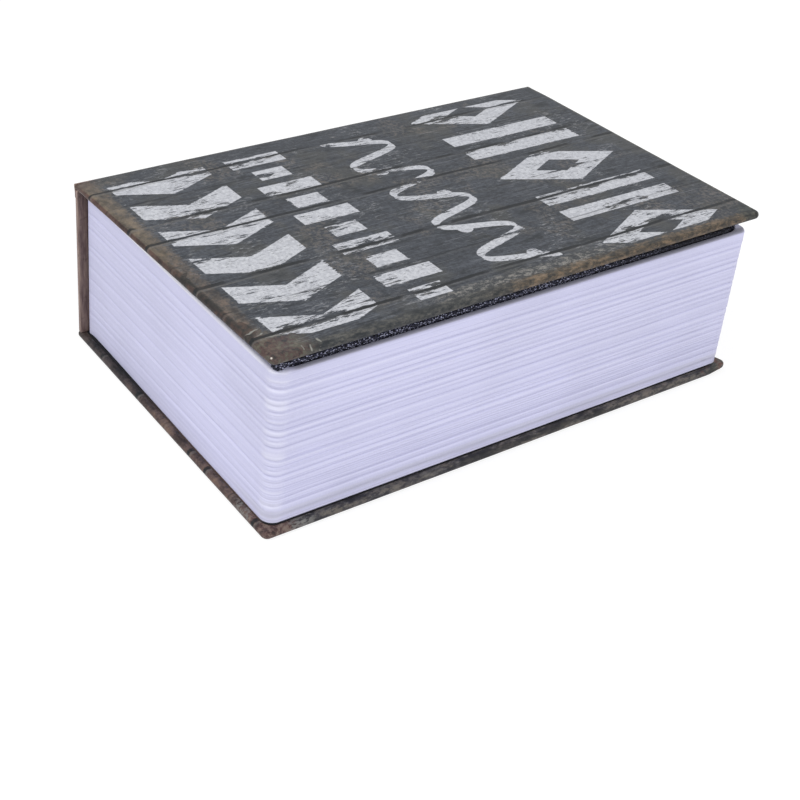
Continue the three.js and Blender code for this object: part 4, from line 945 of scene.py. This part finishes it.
def build_page_shell():
    """A moulded frame whose sides imitate cut pages: uneven ribs that swell and fade."""
    straights = (52, 84, 52, 8)
    corners = (4, 16, 16, 4)
    outer = outline(PAGE, (1.5, 4.0, 3.4, 1.5), straights, corners)
    rim_rect = (PAGE[0] + PAGE_WALL, PAGE[1] - PAGE_WALL, PAGE[2] + PAGE_WALL, PAGE[3] - PAGE_WALL)
    rim = outline(rim_rect, (0.5, 5.0, 5.0, 0.5), straights, corners)
    throat = outline(THROAT, (3.2, 3.2, 3.2, 3.2), straights, corners)
    z0, z1 = PAGE_Z
    foot_round, top_round, lip = 0.45, 1.0, 0.3

    # distance run round the outline as an angle, for noise that doesn't break at a corner
    run = [0.0]
    for (start, _), (end, _) in zip(outer, outer[1:]):
        run.append(run[-1] + math.dist(start, end))
    turns = [2 * math.pi * gone / (run[-1] + 1.0) for gone in run]
    places = groove_depths(outer, turns)

    rings = []
    for z in rib_levels(z0, z1):
        edge = 0.0
        for near, round_off in ((z - z0, foot_round), (z1 - z, top_round)):
            if near < round_off:
                edge = max(edge, round_off - math.sqrt(max(0.0, round_off**2 - (round_off - near) ** 2)))
        drop = (z1 - z) / (z1 - z0)
        ring = []
        for ((x, y), (nx, ny)), turn, column in zip(outer, turns, places):
            depth = 0.0
            for place, deep, width in column:
                off = (z - place) / width
                off *= 1.35 if off > 0 else 0.8
                if abs(off) < 5.0:
                    depth += deep * (0.8 * math.exp(-(off**2)) + 0.25 * math.exp(-((off / 2.2) ** 2)))
            clear = min(max((x - PAGE[0] - 0.6) / 3.0, 0.0), 1.0)
            swell = 0.1 * smooth_noise(x * 0.035, y * 0.035, z * 0.5)
            # the block leans out a little towards its foot, most at the head
            along = fade(y, -80.0, 80.0)
            lean = fade(nx, 0.0, 0.8) * (0.25 - 0.15 * along - (0.35 + 0.1 * along) * drop)
            lean += fade(ny, 0.0, 0.8) * (0.0 - 0.6 * drop)
            lean += fade(-ny, 0.0, 0.8) * 0.45 * fade(drop, 0.75, 1.0) * (1.0 - fade(x, -50.0, 30.0))
            inset = edge + (depth * (1.0 - edge) - swell + lean) * clear
            back_off = (0.15 + 1.1 * (1.0 - drop)) * (1.0 - fade(x, -54.0, -48.0))
            sway = 0.2 * smooth_noise(5.0 * math.cos(turn), 5.0 * math.sin(turn), z * 0.06)
            sway *= fade(drop, 0.0, 0.1) * fade(1.0 - drop, 0.0, 0.1)
            ring.append((x - nx * inset + back_off, y - ny * inset, z + sway))
        rings.append(ring)

    # the flat top of the rim, then down its inside, round the ledge and back to the foot
    rings.append([(x + nx * lip, y + ny * lip, z1) for (x, y), (nx, ny) in rim])
    inside = ((rim, z1 - lip), (rim, LEDGE_Z[1]), (throat, LEDGE_Z[1]), (throat, LEDGE_Z[0]), (rim, LEDGE_Z[0]))
    for shape, z in (*inside, (rim, z0)):
        rings.append([(x, y, z) for (x, y), _ in shape])
    piece("page_block", rings, "page", "base", ["page_shell"], closed_round=True)


def build_lock_body():
    """The lock's bezel with its conical skirt and ring groove, over a threaded barrel with two flats."""
    steps, sides = 120, 96
    thread_top = -0.05
    rise = (BARREL_LENGTH + thread_top) / steps
    profile = [(PLUG_BORE, -BARREL_LENGTH)]
    profile += [(BARREL_RADIUS, -BARREL_LENGTH + rise * i) for i in range(steps + 1)]
    profile += [
        (8.0, 0.0), (10.85, 0.0), (10.96, 0.06), (11.0, 0.2), (11.0, 0.42), (10.95, 0.56), (10.8, 0.7),
        (9.75, 2.0), (8.85, 3.18), (8.7, 3.36), (8.55, 3.48), (8.35, 3.55), (7.85, 3.58), (7.74, 3.56),
        (7.66, 3.46), (7.6, 3.32), (7.5, 3.25), (7.3, 3.25), (7.2, 3.32), (7.14, 3.46), (7.06, 3.56),
        (6.95, 3.6), (6.25, 3.6), (6.14, 3.56), (PLUG_BORE, 3.46),
    ]

    def place(radius, turn, up):
        on_barrel = up < -0.04
        if radius == BARREL_RADIUS and on_barrel:
            # one turn of thread for each millimetre, cut away by the end chamfer
            wave = abs(2.0 * ((up - turn / (2 * math.pi)) % 1.0) - 1.0)
            radius -= THREAD_DEPTH * wave + 0.6 * (1.0 - fade(up, -BARREL_LENGTH, -BARREL_LENGTH + 0.8))
        x, y = radius * math.cos(turn), radius * math.sin(turn)
        if on_barrel:
            x = min(max(x, -BARREL_FLAT), BARREL_FLAT)
        return (LOCK[0] + x, LOCK[1] + y, LOCK[2] + up)

    turns = [2 * math.pi * i / sides for i in range(sides)]
    rings = [[place(radius, turn, up) for radius, up in profile] for turn in turns]
    piece("lock_bezel", rings, "chrome", "lid", ["lock_body"], 28.0, closed_round=True)


def build_split_ring():
    """Two turns of smooth wire, side by side, each end cut flat."""
    steps, sides, turns = 220, 16, 2.0
    lean = Matrix.Rotation(math.pi / 2 - RING_LEAN, 3, "Y")
    upward = Vector((0.0, 0.0, 1.0))
    rings = []
    for i in range(steps + 1):
        t = i / steps
        angle = 2 * math.pi * turns * t
        outward = Vector((math.sin(angle), math.cos(angle), 0.0))
        centre = RING_RADIUS * outward + RING_PITCH * turns * (t - 0.5) * upward
        ring = []
        for k in range(sides):
            turn = 2 * math.pi * k / sides
            at = centre + RING_WIRE * (math.cos(turn) * outward + math.sin(turn) * upward)
            ring.append(lean @ at + Vector(RING_AT))
        rings.append(ring)
    piece("key_ring", rings, "ring", "base", ["split_ring"], 50.0)


build_case()
build_joint_fold()
build_lining()
build_page_shell()
build_lock_body()
build_split_ring()


# Camera
def add_camera():
    azimuth, elevation, roll = (math.radians(a) for a in CAMERA_TURN)
    level = math.cos(elevation)
    back = Vector((math.sin(azimuth) * level, -math.cos(azimuth) * level, math.sin(elevation)))
    right = (-back).cross(Vector((0, 0, 1))).normalized()
    down = (-back).cross(right)
    across = math.cos(roll) * right - math.sin(roll) * down
    under = math.sin(roll) * right + math.cos(roll) * down
    data = bpy.data.cameras.new("camera")
    data.sensor_width = 36.0
    data.lens = LENS
    data.shift_x, data.shift_y = LENS_SHIFT
    data.clip_start = 0.01
    data.clip_end = 20.0
    camera = bpy.data.objects.new("camera", data)
    bpy.context.scene.collection.objects.link(camera)
    turn = Matrix((across, -under, back)).transposed().to_4x4()
    camera.matrix_world = Matrix.Translation(Vector(CAMERA_PLACE)) @ turn
    bpy.context.scene.camera = camera


# Light and floor
def seen_directly(tree):
    """1 for rays from the camera and for rays that a gloss or glass sends on."""
    rays = [add("LightPath", tree=tree, out=f"Is {ray} Ray") for ray in ("Camera", "Glossy", "Transmission")]
    return rays[0] | rays[1] | rays[2]


def add_world(level):
    """A plain studio: soft light of one level all round, but white where the camera or a gloss looks past the floor."""
    world = bpy.data.worlds.new("studio")
    bpy.context.scene.world = world
    world.use_nodes = True
    tree = world.node_tree
    light = (level, level, level * 1.02, 1)
    shown = add("Mix", seen_directly(tree), light, (1, 1, 1, 1))
    tree.links.new(shown.socket, tree.nodes["Background"].inputs["Color"])


def add_floor():
    """A pale floor. Where it is seen, part of its tone is its own, so that the shadow on it stays soft."""
    material = bpy.data.materials.new("floor_white")
    material.use_nodes = True
    tree = material.node_tree
    tree.nodes.clear()
    plain = add("BsdfDiffuse", (0.78, 0.78, 0.8, 1), tree=tree)
    shown = add("BsdfDiffuse", (0.3, 0.3, 0.3, 1), tree=tree)
    both = add("AddShader", shown, add("Emission", tree=tree, Strength=0.78))
    add("OutputMaterial", add("MixShader", seen_directly(tree), plain, both))
    far = 3.0
    mesh = bpy.data.meshes.new("floor")
    mesh.from_pydata([(-far, -far, 0), (far, -far, 0), (far, far, 0), (-far, far, 0)], [], [(0, 1, 2, 3)])
    mesh.materials.append(material)
    floor = bpy.data.objects.new("floor", mesh)
    bpy.context.scene.collection.objects.link(floor)


def add_lamp(name, place, size, power, aim=(0, 0, 0.03)):
    """A round soft lamp, with its place and size in metres, turned to the book."""
    data = bpy.data.lights.new(name, "AREA")
    data.shape = "DISK"
    data.size = size
    data.energy = power
    lamp = bpy.data.objects.new(name, data)
    bpy.context.scene.collection.objects.link(lamp)
    lamp.location = place
    lamp.rotation_euler = (Vector(aim) - Vector(place)).to_track_quat("-Z", "Y").to_euler()


add_camera()
add_world(0.6)
add_floor()
add_lamp("key", (-0.35, -1.0, 1.1), 0.9, 9.0)
add_lamp("fill", (1.2, -0.1, 0.8), 1.0, 8.0)

scene = bpy.context.scene
scene.view_settings.view_transform = "Standard"
